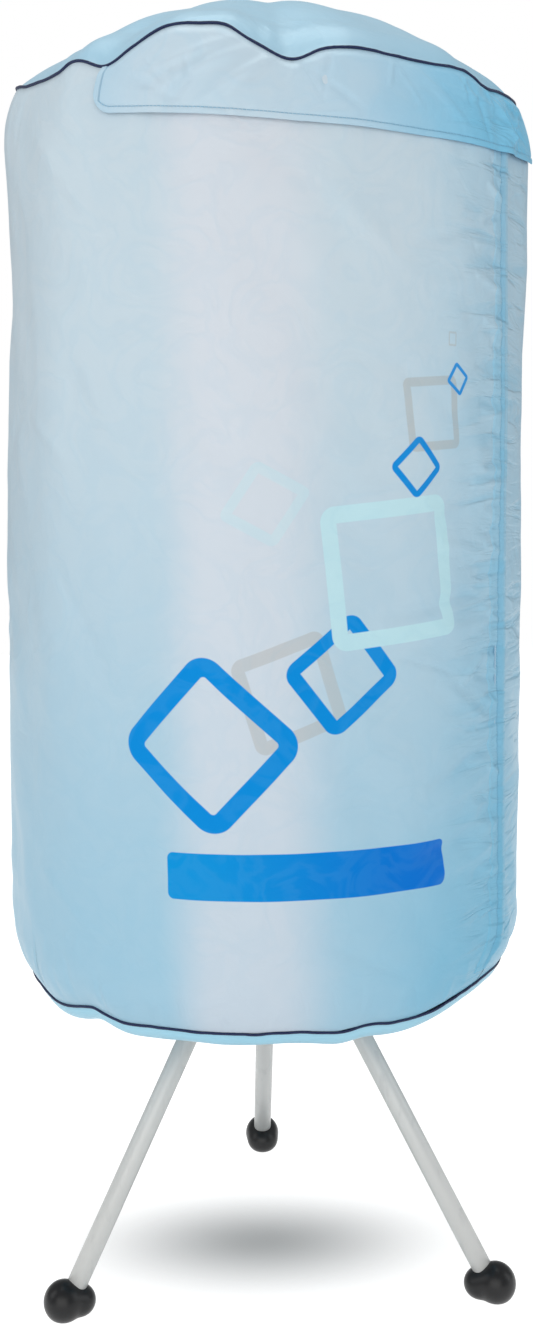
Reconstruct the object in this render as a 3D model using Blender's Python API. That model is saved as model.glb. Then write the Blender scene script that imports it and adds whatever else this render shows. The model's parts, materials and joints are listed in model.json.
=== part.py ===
"""Portable clothes dryer on a folding tripod, in metres, +Z up.

A heater and fan unit stands on three folding legs. A pole rises from it to a head of twelve hinged
hanging arms, and a zipped cloth cover hangs from the arms round the whole drying space.

The origin is on the floor under the pole. An azimuth of 0 degrees faces the front (-Y) and grows towards
the right-hand side (+X) as seen from the front.
"""

import math

import bmesh
import bpy
from mathutils import Euler, Matrix, Vector

# Fits
SEAT_GAP = 0.0003
PIN_GAP = 0.0001
MERGE_DISTANCE = 0.000001
CUT_OVERRUN = 0.002

# Cloth cover
COVER_RADIUS = 0.2905
TOP_SEAM_INSET = 0.0165
TOP_SEAM_RADIUS = COVER_RADIUS - TOP_SEAM_INSET
TOP_SEAM_HEIGHT = 1.329
CROWN_RISE = 0.103
CROWN_POWER = 2.2
CROWN_FIRST_SHARE = 0.2
SHOULDER_DROP = 0.080
SHOULDER_POWER = 3.0
BOTTOM_SEAM_INSET = 0.0180
BOTTOM_SEAM_RADIUS = COVER_RADIUS - BOTTOM_SEAM_INSET
BOTTOM_SEAM_HEIGHT = 0.3725
WALL_TUCK = 0.055
TUCK_POWER = 2.2
BULGE_ROUND = 0.017
CLOTH_THICKNESS = 0.0012
SCALLOP_DEPTH = 0.0020
SCALLOP_RISE = 0.0030
SCALLOP_FADE = 0.240
FOLD_DEPTH = 0.0022
FOLD_COUNT = 9
FOLD_TURN = 40.0
GATHER_DEPTH = 0.0030
PIPING_RADIUS = 0.0018
HEM_ROUND = 0.0025
HEM_LAP = 0.0080
COVER_COLUMNS = 48
ROUND_STEPS = 36

# Zip, door and storm flap
HINGE_AZIMUTH = -38.0
DOOR_EDGE_GAP = 0.0024
DOOR_HEAD_DROP = 0.0290
DOOR_HEAD_HEIGHT = TOP_SEAM_HEIGHT - DOOR_HEAD_DROP
ZIP_AZIMUTH = 58.8
ZIP_FOOT_RISE = 0.0675
ZIP_FOOT_HEIGHT = BOTTOM_SEAM_HEIGHT + ZIP_FOOT_RISE
ZIP_CALM_ANGLE = 9.0
TOOTH_GAP = 0.0020
TOOTH_WIDTH = 0.0016
TOOTH_THICKNESS = 0.0020
TAPE_THICKNESS = 0.0008
TAPE_WIDTH = 0.0120
ZIP_EDGE_MARGIN = 0.0014
ZIP_SEW_DROP = 0.0012
SLIDER_WIDTH = 0.0084
SLIDER_LENGTH = 0.0140
SLIDER_PLATE = 0.0010
SLIDER_NECK = 0.0016
SLIDER_REST_DROP = 0.0670
SLIDER_REST_HEIGHT = TOP_SEAM_HEIGHT - SLIDER_REST_DROP
PULL_LENGTH = 0.0150
PULL_WIDTH = 0.0050
FLAP_START_AZIMUTH = -33.0
FLAP_END_AZIMUTH = 75.0
FLAP_LOW_AZIMUTH = 30.0
FLAP_DROP = 0.0810
FLAP_LOW_HEIGHT = TOP_SEAM_HEIGHT - FLAP_DROP
FLAP_LEFT_RISE = 0.026
FLAP_RIGHT_RISE = 0.010
FLAP_OFFSET = 0.0026
STRIP_OFFSET = 0.0012
FLAP_ZIP_RISE = 0.0032
PLACKET_WIDTH = 0.0230

# Folding tripod
LEG_COUNT = 3
TRIPOD_TURN = 3.1
LEG_SPLAY = 30.5
PIVOT_RADIUS = 0.064
PIVOT_DROP = 0.0210
LEG_RADIUS = 0.0115
LEG_WALL = 0.0012
LEG_START = 0.0220
LEG_END_HEIGHT = 0.0210
EYE_RADIUS = 0.0090
EYE_WIDTH = 0.0160
CHEEK_THICKNESS = 0.0040
CHEEK_GAP = 0.0004
SHANK_DEPTH = 0.0300
COLLAR_LENGTH = 0.0060
PIN_RADIUS = 0.0030
PIN_HEAD_RADIUS = 0.0048
PIN_HEAD_THICKNESS = 0.0018
HUB_FLANGE_RADIUS = 0.0860
HUB_FLANGE_THICKNESS = 0.0060
HUB_BOSS_RADIUS = 0.0330
HUB_BOSS_WALL = 0.0040
HUB_BOSS_DROP = 0.0240
BOOT_TOE_OVERHANG = 0.0115191
BOOT_LENGTH = 0.0600
BOOT_WIDTH = 0.0440
BOOT_HEIGHT = 0.0540
BOOT_WALL = 0.0040

# Heater and fan unit
HEATER_RADIUS = 0.1470
HEATER_BOTTOM = 0.3970
PIVOT_HEIGHT = HEATER_BOTTOM - PIVOT_DROP
HEM_HEIGHT = HEATER_BOTTOM + HEM_LAP
HEATER_WALL = 0.0025
BASE_HEIGHT = 0.0630
CROWN_EDGE_HEIGHT = 0.0400
CROWN_HEIGHT = 0.0850
EDGE_ROUND = 0.0170
CROWN_INNER_RADIUS = 0.0500
SOCKET_RADIUS = 0.0210
SOCKET_HEIGHT = 0.0430
SOCKET_WEB = 0.0025
LEDGE_DEPTH = 0.0040
LEDGE_WIDTH = 0.0012
INTAKE_SLOTS = 18
INTAKE_INNER_RADIUS = 0.0930
INTAKE_OUTER_RADIUS = 0.1320
OUTLET_SLOTS = 18
OUTLET_INNER_RADIUS = 0.0600
OUTLET_OUTER_RADIUS = 0.1180
GRILLE_SLOT = 0.0040
DUCT_RADIUS = 0.1020
DUCT_WALL = 0.0020
DUCT_DEPTH = 0.0290
FLANGE_THICKNESS = 0.0020
MOTOR_RADIUS = 0.0240
MOTOR_HEIGHT = 0.0300
MOTOR_EDGE = 0.0030
SHAFT_RADIUS = 0.0030
MOUNT_FLANGE_RADIUS = 0.0400
MOUNT_WALL = 0.0020
MOUNT_HEIGHT = 0.0140
FAN_GAP = 0.0030
FAN_HUB_RADIUS = 0.0220
FAN_HUB_HEIGHT = 0.0220
FAN_RADIUS = 0.0990
BLADE_COUNT = 7
BLADE_THICKNESS = 0.0016
BLADE_ROOT_CHORD = 0.0300
BLADE_TIP_CHORD = 0.0440
BLADE_ROOT_PITCH = 42.0
BLADE_TIP_PITCH = 22.0
FAN_CAP_RADIUS = 0.0080
FAN_CAP_HEIGHT = 0.0050
TRAY_HEIGHT = 0.0140
TRAY_THICKNESS = 0.0010
ELEMENT_LENGTH = 0.1200
ELEMENT_WIDTH = 0.0800
ELEMENT_HEIGHT = 0.0180
ELEMENT_FRAME = 0.0060
ELEMENT_BAR = 0.0040
ELEMENT_CELLS_LONG = 8
ELEMENT_CELLS_WIDE = 2
CUTOUT_RADIUS = 0.0080
CUTOUT_HEIGHT = 0.0060
PANEL_WIDTH = 0.0960
PANEL_HEIGHT = 0.0400
PANEL_DEPTH = 0.0160
PANEL_EDGE = 0.0030
CONTROL_HEIGHT_SHARE = 40 / 63
CONTROL_HEIGHT = HEATER_BOTTOM + BASE_HEIGHT * CONTROL_HEIGHT_SHARE
CONTROL_SPACING = 0.0480
KNOB_RADIUS = 0.0155
KNOB_SKIRT = 0.0050
KNOB_GRIP_RADIUS = 0.0115
KNOB_DEPTH = 0.0150
KNOB_RIDGE = 0.0024
STEM_RADIUS = 0.0030
BUTTON_RADIUS = 0.0075
BUTTON_PROUD = 0.0045
BUTTON_TRAVEL = 0.0030
CONTROL_BOX_WIDTH = 0.0360
CONTROL_BOX_HEIGHT = 0.0300
CONTROL_BOX_DEPTH = 0.0200
GLAND_HEIGHT_SHARE = 28 / 63
GLAND_HEIGHT = HEATER_BOTTOM + BASE_HEIGHT * GLAND_HEIGHT_SHARE
GLAND_RADIUS = 0.0110
GLAND_NECK_RADIUS = 0.0075
GLAND_BORE_RADIUS = 0.0040
GLAND_FLANGE = 0.0030
GLAND_NOSE = 0.0080

# Pole
POLE_RADIUS = 0.0125
POLE_WALL = 0.0012
POLE_JOIN_HEIGHT = 0.9680
SPIGOT_DEPTH = 0.0500
FERRULE_WALL = 0.0022
FERRULE_HEIGHT = 0.0260

# Head and hanging arms
ARM_COUNT = 12
FIRST_ARM_AZIMUTH = 19.0
ARM_HINGE_RADIUS = 0.0420
ARM_HINGE_DROP = 0.0128
ARM_TIP_GAP = 0.0060
ARM_TIP_RADIUS = TOP_SEAM_RADIUS - ARM_TIP_GAP
ARM_WIDTH = 0.0080
ARM_ROOT_HEIGHT = 0.0110
ARM_TIP_HEIGHT = 0.0060
ARM_ROOT_CLEARANCE = 0.0045
ARM_TIP_CLEARANCE = 0.0028
NOTCH_DEPTH = 0.0030
NOTCH_WIDTH = 0.0070
NOTCH_SHARES = (0.40, 0.57, 0.74, 0.91)
CLIP_RADIUS = 0.0043
CLIP_BORE = 0.0018
CLIP_MOUTH = 70.0
WIRE_RADIUS = 0.00125
WIRE_GAP = 0.0004
HEAD_RADIUS = 0.0500
HEAD_CORE_RADIUS = 0.0280
HEAD_ABOVE_HINGE = 0.0050
HEAD_BELOW_HINGE = 0.0110
HEAD_SOCKET_RADIUS = 0.0165
HEAD_SOCKET_DEPTH = 0.0240
SLOT_SIDE_GAP = 0.0006
RIB_HALF_WIDTH = 0.0012
CAP_EDGE = 0.0015


# Directions and outlines

def outward(azimuth):
    """The level direction away from the pole at this azimuth."""
    angle = math.radians(azimuth)
    return Vector((math.sin(angle), -math.cos(angle), 0))


def at(azimuth, radius, height):
    """A point by azimuth, distance from the pole and height."""
    return outward(azimuth) * radius + Vector((0, 0, height))


def facing(azimuth):
    """The turn about Z that points a piece's own +X away from the pole."""
    return Euler((0, 0, math.radians(azimuth - 90)))


def arc(centre, radius, start, end, steps):
    """Points along a circular arc in an outline, both ends included, angles in degrees."""
    points = []
    for index in range(steps + 1):
        angle = math.radians(start + (end - start) * index / steps)
        points.append((centre[0] + radius * math.cos(angle), centre[1] + radius * math.sin(angle)))
    return points


def mixed(first, second, share):
    """The value this share of the way from the first to the second."""
    return first + (second - first) * share


def smooth(share):
    """A share eased in and out, held to 0 and 1 outside its range."""
    share = min(max(share, 0), 1)
    return share * share * (3 - 2 * share)


# Materials and objects

def finish(name, colour, roughness, metallic=0.0):
    """A plain Principled BSDF finish."""
    made = bpy.data.materials.new(name)
    made.use_nodes = True
    shader = made.node_tree.nodes["Principled BSDF"]
    shader.inputs["Base Color"].default_value = (*colour, 1)
    shader.inputs["Roughness"].default_value = roughness
    shader.inputs["Metallic"].default_value = metallic
    made.diffuse_color = (*colour, 1)
    return made


def place(name, mesh, material, location=(0, 0, 0), rotation=(0, 0, 0), parent=None):
    """Puts a mesh or curve into the scene as a named piece."""
    piece = bpy.data.objects.new(name, mesh)
    bpy.context.scene.collection.objects.link(piece)
    if material and not mesh.materials:
        mesh.materials.append(material)
    piece.location = location
    piece.rotation_euler = rotation
    piece.parent = parent
    return piece


def pivot(name, location, rotation=(0, 0, 0), parent=None):
    """An empty on a joint's axis, which carries the pieces that move with it."""
    empty = bpy.data.objects.new(name, None)
    bpy.context.scene.collection.objects.link(empty)
    empty.location = location
    empty.rotation_euler = rotation
    empty.parent = parent
    return empty


def modified(piece, kind, name, **settings):
    """Adds a modifier with these settings."""
    modifier = piece.modifiers.new(name, kind)
    for key, value in settings.items():
        setattr(modifier, key, value)
    return piece


def helper(name, mesh, location=(0, 0, 0), rotation=(0, 0, 0), parent=None):
    """A cutter or an addition for a Boolean, kept out of the model."""
    piece = place(name, mesh, None, location, rotation, parent)
    piece.hide_render = True
    piece.display_type = "WIRE"
    return piece


def cut(piece, cutter):
    """Takes the cutter's shape out of the piece."""
    return modified(piece, "BOOLEAN", "cut_" + cutter.name, operation="DIFFERENCE", object=cutter)


def fuse(piece, other):
    """Adds the other shape to the piece."""
    return modified(piece, "BOOLEAN", "join_" + other.name, operation="UNION", object=other)


# Meshes

def finished(name, model, angle=35):
    """Writes a bmesh to a mesh, faces out and smooth up to this angle."""
    bmesh.ops.recalc_face_normals(model, faces=model.faces)
    mesh = bpy.data.meshes.new(name)
    model.to_mesh(mesh)
    model.free()
    mesh.shade_smooth()
    mesh.set_sharp_from_angle(angle=math.radians(angle))
    return mesh


def turned(name, profile, steps, closed=True):
    """A profile of (radius, height) points turned about Z. An open profile starts and ends on the axis."""
    model = bmesh.new()
    points = [model.verts.new((radius, 0, height)) for radius, height in profile]
    edges = [model.edges.new(pair) for pair in zip(points, points[1:])]
    if closed:
        edges.append(model.edges.new((points[-1], points[0])))
    bmesh.ops.spin(
        model, geom=points + edges, cent=(0, 0, 0), axis=(0, 0, 1), angle=math.tau, steps=steps,
        use_merge=True,
    )
    bmesh.ops.remove_doubles(model, verts=model.verts, dist=MERGE_DISTANCE)
    return finished(name, model)


def add_prism(model, outline, low, high, place_point):
    """An outline carried from low to high. place_point turns (across, up, along) into a point."""
    points = [model.verts.new(place_point(across, up, low)) for across, up in outline]
    face = model.faces.new(points)
    raised = bmesh.ops.extrude_face_region(model, geom=[face])["geom"]
    step = place_point(0, 0, high) - place_point(0, 0, low)
    moved = [item for item in raised if isinstance(item, bmesh.types.BMVert)]
    bmesh.ops.translate(model, verts=moved, vec=step)


def prism(name, outline, low, high, place_point):
    """A mesh of one prism."""
    model = bmesh.new()
    add_prism(model, outline, low, high, place_point)
    return finished(name, model)


def along_y(across, up, along):
    """Prism points for an outline in the XZ plane."""
    return Vector((across, along, up))


def along_z(across, up, along):
    """Prism points for an outline in the XY plane."""
    return Vector((across, up, along))


def add_block(model, low, high, turn=None):
    """A box between two corners, turned about Z by turn degrees."""
    size = [b - a for a, b in zip(low, high)]
    middle = [(a + b) / 2 for a, b in zip(low, high)]
    matrix = Matrix.Translation(middle) @ Matrix.Diagonal((*size, 1))
    if turn is not None:
        matrix = Matrix.Rotation(math.radians(turn), 4, "Z") @ matrix
    bmesh.ops.create_cube(model, size=1, matrix=matrix)


def add_rod(model, start, end, radius, sides, turn=0):
    """A round rod between two points. turn sets where its first corner lies, in degrees."""
    axis = Vector(end) - Vector(start)
    lean = axis.to_track_quat("Z", "Y").to_matrix().to_4x4()
    middle = Matrix.Translation((Vector(start) + Vector(end)) / 2)
    matrix = middle @ lean @ Matrix.Rotation(math.radians(turn), 4, "Z")
    bmesh.ops.create_cone(
        model, cap_ends=True, segments=sides, radius1=radius, radius2=radius, depth=axis.length,
        matrix=matrix,
    )


def sheet(name, columns, rows, point, material, parent=None, kept=None, around=False):
    """Cloth on a grid. point(column, row) is its outer face, kept(c, r) says which cells hold cloth."""
    model = bmesh.new()
    grid = [[model.verts.new(point(column, row)) for row in rows] for column in columns]
    if around:
        grid.append(grid[0])
    for c in range(len(grid) - 1):
        for r in range(len(rows) - 1):
            if kept is None or kept(c, r):
                model.faces.new((grid[c][r], grid[c][r + 1], grid[c + 1][r + 1], grid[c + 1][r]))
    loose = [vertex for vertex in model.verts if not vertex.link_faces]
    bmesh.ops.delete(model, geom=loose, context="VERTS")
    mesh = bpy.data.meshes.new(name)
    model.to_mesh(mesh)
    model.free()
    mesh.shade_smooth()
    mesh.set_sharp_from_angle(angle=math.radians(50))
    piece = place(name, mesh, material, parent=parent)
    return modified(
        piece, "SOLIDIFY", "cloth", thickness=CLOTH_THICKNESS, offset=-1, use_even_offset=True
    )


def lofted(name, rings, material, parent=None, location=(0, 0, 0), rotation=(0, 0, 0)):
    """A skin over rings of points, closed with a face at each end."""
    model = bmesh.new()
    loops = [[model.verts.new(point) for point in ring] for ring in rings]
    sides = len(loops[0])
    for low, high in zip(loops, loops[1:]):
        for side in range(sides):
            after = (side + 1) % sides
            model.faces.new((low[side], low[after], high[after], high[side]))
    model.faces.new(loops[0])
    model.faces.new(loops[-1])
    return place(name, finished(name, model, 50), material, location, rotation, parent)


def round_cord(name, points, radius, material):
    """A closed ring of cord through these points."""
    curve = bpy.data.curves.new(name, "CURVE")
    curve.dimensions = "3D"
    curve.bevel_depth = radius
    curve.bevel_resolution = 0
    spline = curve.splines.new("POLY")
    spline.points.add(len(points) - 1)
    for target, point in zip(spline.points, points):
        target.co = (*point, 1)
    spline.use_cyclic_u = True
    return place(name, curve, material)


# Shape of the cover

def calm(azimuth):
    """0 along the zip, where the cloth is held straight, and 1 away from it."""
    away = (azimuth - ZIP_AZIMUTH + 180) % 360 - 180
    return 1 - math.exp(-((away / ZIP_CALM_ANGLE) ** 2))


def scallop(azimuth):
    """1 over an arm's tip and -1 half way between two arms."""
    return math.cos(math.radians(ARM_COUNT * (azimuth - FIRST_ARM_AZIMUTH))) * calm(azimuth)


def fold(azimuth):
    """The long soft folds of the side wall."""
    wave = math.cos(math.radians(FOLD_COUNT * azimuth + FOLD_TURN))
    return wave * calm(azimuth) * calm(azimuth + ZIP_AZIMUTH - HINGE_AZIMUTH)


def top_seam(azimuth):
    """Radius and height of the top seam."""
    wave = scallop(azimuth)
    return TOP_SEAM_RADIUS + SCALLOP_DEPTH * wave, TOP_SEAM_HEIGHT + SCALLOP_RISE * wave


def crown_height(radius):
    """Height of the crown's outer face over an arm."""
    return TOP_SEAM_HEIGHT + CROWN_RISE * (1 - (radius / TOP_SEAM_RADIUS) ** CROWN_POWER)


def wall_profile(height):
    """Radius of the side wall without its folds: straight, with a rounded shoulder and foot."""
    up = min(max((height - TOP_SEAM_HEIGHT + SHOULDER_DROP) / SHOULDER_DROP, 0), 1)
    down = min(max((BOTTOM_SEAM_HEIGHT + WALL_TUCK - height) / WALL_TUCK, 0), 1)
    shoulder = (COVER_RADIUS - TOP_SEAM_RADIUS) * up ** SHOULDER_POWER
    foot = (COVER_RADIUS - BOTTOM_SEAM_RADIUS) * down ** TUCK_POWER
    return COVER_RADIUS - shoulder - foot


def wall_radius(azimuth, height):
    """Radius of the side wall's outer face with its scallops and folds."""
    near_top = min(max(1 - (TOP_SEAM_HEIGHT - height) / SCALLOP_FADE, 0), 1)
    down = (TOP_SEAM_HEIGHT - height) / (TOP_SEAM_HEIGHT - BOTTOM_SEAM_HEIGHT)
    hang = math.sin(math.pi * min(max(down, 0), 1))
    folds = FOLD_DEPTH * fold(azimuth) * hang
    return wall_profile(height) + SCALLOP_DEPTH * scallop(azimuth) * near_top ** 2 + folds


def wall_point(azimuth, height):
    """A point on the side wall, with its top row under the scalloped piping."""
    seam_low = top_seam(azimuth)[1] - PIPING_RADIUS - SEAT_GAP
    height = min(height, seam_low)
    return at(azimuth, wall_radius(azimuth, height), height)


def degrees_of(length):
    """The azimuth that this length spans on the side wall."""
    return math.degrees(length / COVER_RADIUS)


def spread(start, end, count):
    """Evenly spaced values, both ends included."""
    return [mixed(start, end, index / (count - 1)) for index in range(count)]


ZIP_HALF_OPENING = SLIDER_WIDTH / 2 + ZIP_EDGE_MARGIN
WALL_BOTTOM = BOTTOM_SEAM_HEIGHT + PIPING_RADIUS + SEAT_GAP
DOOR_LEFT = HINGE_AZIMUTH + degrees_of(DOOR_EDGE_GAP / 2)
DOOR_RIGHT = ZIP_AZIMUTH - degrees_of(ZIP_HALF_OPENING)
WALL_LEFT = HINGE_AZIMUTH - degrees_of(DOOR_EDGE_GAP / 2)
WALL_RIGHT = ZIP_AZIMUTH + degrees_of(ZIP_HALF_OPENING)
SHOULDER_HEIGHT = TOP_SEAM_HEIGHT - SHOULDER_DROP
WALL_LOW_SHARES = (0.28, 0.56, 0.84)


def wall_rows(top):
    """Heights of the grid's rows from this top to the bottom seam."""
    tuck = BOTTOM_SEAM_HEIGHT + WALL_TUCK
    straight = [mixed(SHOULDER_HEIGHT, tuck, share) for share in WALL_LOW_SHARES]
    middle = mixed(SHOULDER_HEIGHT, top[-1], 0.5)
    return [*top, middle, SHOULDER_HEIGHT, *straight, tuck, mixed(tuck, WALL_BOTTOM, 0.5), WALL_BOTTOM]


# Cover

def build_cover(finishes):
    """The cloth panels that don't move, their piping and the elastic hem."""
    cloth = finishes["cloth"]
    back_columns = spread(WALL_RIGHT, WALL_LEFT + 360, 36)
    front_columns = spread(WALL_LEFT + 360, WALL_RIGHT + 360, 14)[1:-1]
    window_start = len(back_columns) - 1

    def beside_door(column, row):
        return column < window_start or row == 0

    rows = wall_rows((TOP_SEAM_HEIGHT + SCALLOP_RISE, DOOR_HEAD_HEIGHT))
    sheet(
        "cover_side_wall", back_columns + front_columns, rows, wall_point, cloth,
        kept=beside_door, around=True,
    )

    columns = spread(0, 360, COVER_COLUMNS + 1)[:-1]
    rim_share = 1 - PIPING_RADIUS / TOP_SEAM_RADIUS
    crown_shares = [CROWN_FIRST_SHARE, 0.45, 0.75, rim_share]
    build_crown(columns, crown_shares, cloth)
    build_bottom_panel(spread(0, 360, ROUND_STEPS + 1)[:-1], cloth)

    navy = finishes["piping"]
    round_cord("piping_top", [at(a, *top_seam(a)) for a in columns], PIPING_RADIUS, navy)
    even = spread(0, 360, ROUND_STEPS + 1)[:-1]
    bottom_seam = [at(a, BOTTOM_SEAM_RADIUS, BOTTOM_SEAM_HEIGHT) for a in even]
    round_cord("piping_bottom", bottom_seam, PIPING_RADIUS, navy)
    hem_radius = HEATER_RADIUS + SEAT_GAP + HEM_ROUND
    round_cord("hem_elastic", [at(a, hem_radius, HEM_HEIGHT) for a in even], HEM_ROUND, finishes["elastic"])


def build_crown(columns, shares, cloth):
    """The domed top panel, one closed round of cloth drawn over the arms."""
    def crown_point(azimuth, share):
        radius, height = top_seam(azimuth)
        return at(azimuth, radius * share, crown_height(TOP_SEAM_RADIUS * share)) + Vector(
            (0, 0, (height - TOP_SEAM_HEIGHT) * share ** 2)
        )

    model = bmesh.new()
    apex = model.verts.new((0, 0, TOP_SEAM_HEIGHT + CROWN_RISE))
    grid = [[model.verts.new(crown_point(azimuth, share)) for share in shares] for azimuth in columns]
    for here, after in zip(grid, grid[1:] + grid[:1]):
        model.faces.new((apex, here[0], after[0]))
        for row in range(len(shares) - 1):
            model.faces.new((here[row], here[row + 1], after[row + 1], after[row]))
    mesh = bpy.data.meshes.new("cover_top_panel")
    model.to_mesh(mesh)
    model.free()
    mesh.shade_smooth()
    piece = place("cover_top_panel", mesh, cloth)
    modified(piece, "SOLIDIFY", "cloth", thickness=CLOTH_THICKNESS, offset=-1, use_even_offset=True)


def build_bottom_panel(columns, cloth):
    """The cloth under the bottom seam: it bulges down, then gathers in to the hem round the heater."""
    first = math.degrees(math.asin((PIPING_RADIUS + SEAT_GAP) / BULGE_ROUND))
    hem_radius = HEATER_RADIUS + SEAT_GAP + 2 * HEM_ROUND + SEAT_GAP
    rows = [*spread(first, 90, 4), 180]

    def panel_point(azimuth, row):
        angle = math.radians(min(row, 90))
        radius = BOTTOM_SEAM_RADIUS - BULGE_ROUND * (1 - math.cos(angle))
        height = BOTTOM_SEAM_HEIGHT - BULGE_ROUND * math.sin(angle)
        share = max(row - 90, 0) / 90
        gather = GATHER_DEPTH * math.cos(math.radians(ARM_COUNT * azimuth)) * share * (1 - share) * 4
        radius = mixed(radius, hem_radius, share)
        return at(azimuth, radius, mixed(height, HEM_HEIGHT, share) + gather)

    sheet("cover_bottom_panel", columns, [*rows[:-1], 135, rows[-1]], panel_point, cloth, around=True)


# Door, flap and zip

def flap_low(azimuth):
    """Height of the storm flap's lower edge."""
    left = max(FLAP_LOW_AZIMUTH - azimuth, 0) / (FLAP_LOW_AZIMUTH - FLAP_START_AZIMUTH)
    right = max(azimuth - FLAP_LOW_AZIMUTH, 0) / (FLAP_END_AZIMUTH - FLAP_LOW_AZIMUTH)
    return FLAP_LOW_HEIGHT + FLAP_LEFT_RISE * left ** 1.6 + FLAP_RIGHT_RISE * right ** 2


def build_door(finishes):
    """The zipped door panel, its storm flap and its half of the zip, all on the hinge line."""
    hinge = pivot("door_pivot", at(HINGE_AZIMUTH, COVER_RADIUS, 0))
    back = Vector(hinge.location)

    def door_point(azimuth, height):
        return at(azimuth, wall_radius(azimuth, height), height) - back

    rows = wall_rows((DOOR_HEAD_HEIGHT - DOOR_EDGE_GAP,))
    columns = spread(DOOR_LEFT, DOOR_RIGHT, 15)
    sheet("door_panel", columns, rows, door_point, finishes["cloth"], parent=hinge)

    strip_right = ZIP_AZIMUTH - degrees_of(SLIDER_WIDTH / 2 + 2 * SEAT_GAP)
    strip_left = strip_right - degrees_of(PLACKET_WIDTH)
    left_count = 13
    flap_columns = [
        *spread(FLAP_START_AZIMUTH, strip_left, left_count), mixed(strip_left, strip_right, 0.5),
        *spread(strip_right, FLAP_END_AZIMUTH, 4),
    ]
    tuck = BOTTOM_SEAM_HEIGHT + WALL_TUCK
    strip_rows = [mixed(FLAP_LOW_HEIGHT, tuck, share) for share in (0.33, 0.66, 1)]

    def flap_point(azimuth, row):
        low = flap_low(azimuth)
        top = top_seam(azimuth)[1] - PIPING_RADIUS - FLAP_OFFSET
        if row <= 2:
            height = mixed(top, low, row / 2)
        else:
            height = strip_rows[row - 3]
        over_slider = smooth(1 - abs(azimuth - ZIP_AZIMUTH) / degrees_of(PLACKET_WIDTH))
        lift = FLAP_OFFSET + FLAP_ZIP_RISE * over_slider if row <= 2 else STRIP_OFFSET
        lift += CLOTH_THICKNESS
        return at(azimuth, wall_radius(azimuth, height) + lift, height) - back

    def flap_or_strip(column, row):
        return row < 2 or left_count - 1 <= column <= left_count

    sheet(
        "storm_flap", flap_columns, range(6), flap_point, finishes["cloth"], parent=hinge,
        kept=flap_or_strip,
    )
    build_zip(finishes, hinge)


def tape_outline(side):
    """A zip half seen from above: teeth, then tape, then the sewn edge under the cloth."""
    tooth = TOOTH_GAP / 2
    web = tooth + TOOTH_WIDTH
    step = SLIDER_WIDTH / 2 + SEAT_GAP
    under = -CLOTH_THICKNESS / 2 - ZIP_SEW_DROP
    half = TAPE_THICKNESS / 2
    points = [
        (tooth, -TOOTH_THICKNESS / 2), (web, -TOOTH_THICKNESS / 2), (web, -half), (step, -half),
        (step, under - TAPE_THICKNESS), (TAPE_WIDTH, under - TAPE_THICKNESS), (TAPE_WIDTH, under),
        (step + TAPE_THICKNESS, under), (step + TAPE_THICKNESS, half), (web, half),
        (web, TOOTH_THICKNESS / 2), (tooth, TOOTH_THICKNESS / 2),
    ]
    return [(side * across, out) for across, out in points]


def build_zip(finishes, hinge):
    """Both halves of the straight zip and its slider, parked at the zip's top under the flap."""
    middle = COVER_RADIUS - CLOTH_THICKNESS / 2
    across = Vector((math.cos(math.radians(ZIP_AZIMUTH)), math.sin(math.radians(ZIP_AZIMUTH)), 0))
    back = Vector(hinge.location)

    def zip_point(side, out, height):
        return across * side + outward(ZIP_AZIMUTH) * (middle + out) + Vector((0, 0, height))

    def door_side(side, out, height):
        return zip_point(side, out, height) - back

    slider_foot = SLIDER_REST_HEIGHT - SLIDER_LENGTH / 2
    wall_top = slider_foot - SEAT_GAP
    wall_tape = prism("zip_tape_wall", tape_outline(1), ZIP_FOOT_HEIGHT, wall_top, zip_point)
    place("zip_tape_wall", wall_tape, finishes["tape"])
    door_top = SLIDER_REST_HEIGHT + SLIDER_LENGTH / 2 + SEAT_GAP
    door_tape = prism("zip_tape_door", tape_outline(-1), ZIP_FOOT_HEIGHT, door_top, door_side)
    place("zip_tape_door", door_tape, finishes["tape"], parent=hinge)

    carriage = pivot(
        "slider_track", at(ZIP_AZIMUTH, middle, SLIDER_REST_HEIGHT) - back, facing(ZIP_AZIMUTH), hinge
    )
    place("zip_slider", slider_mesh(), finishes["zip_metal"], parent=carriage)


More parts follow.
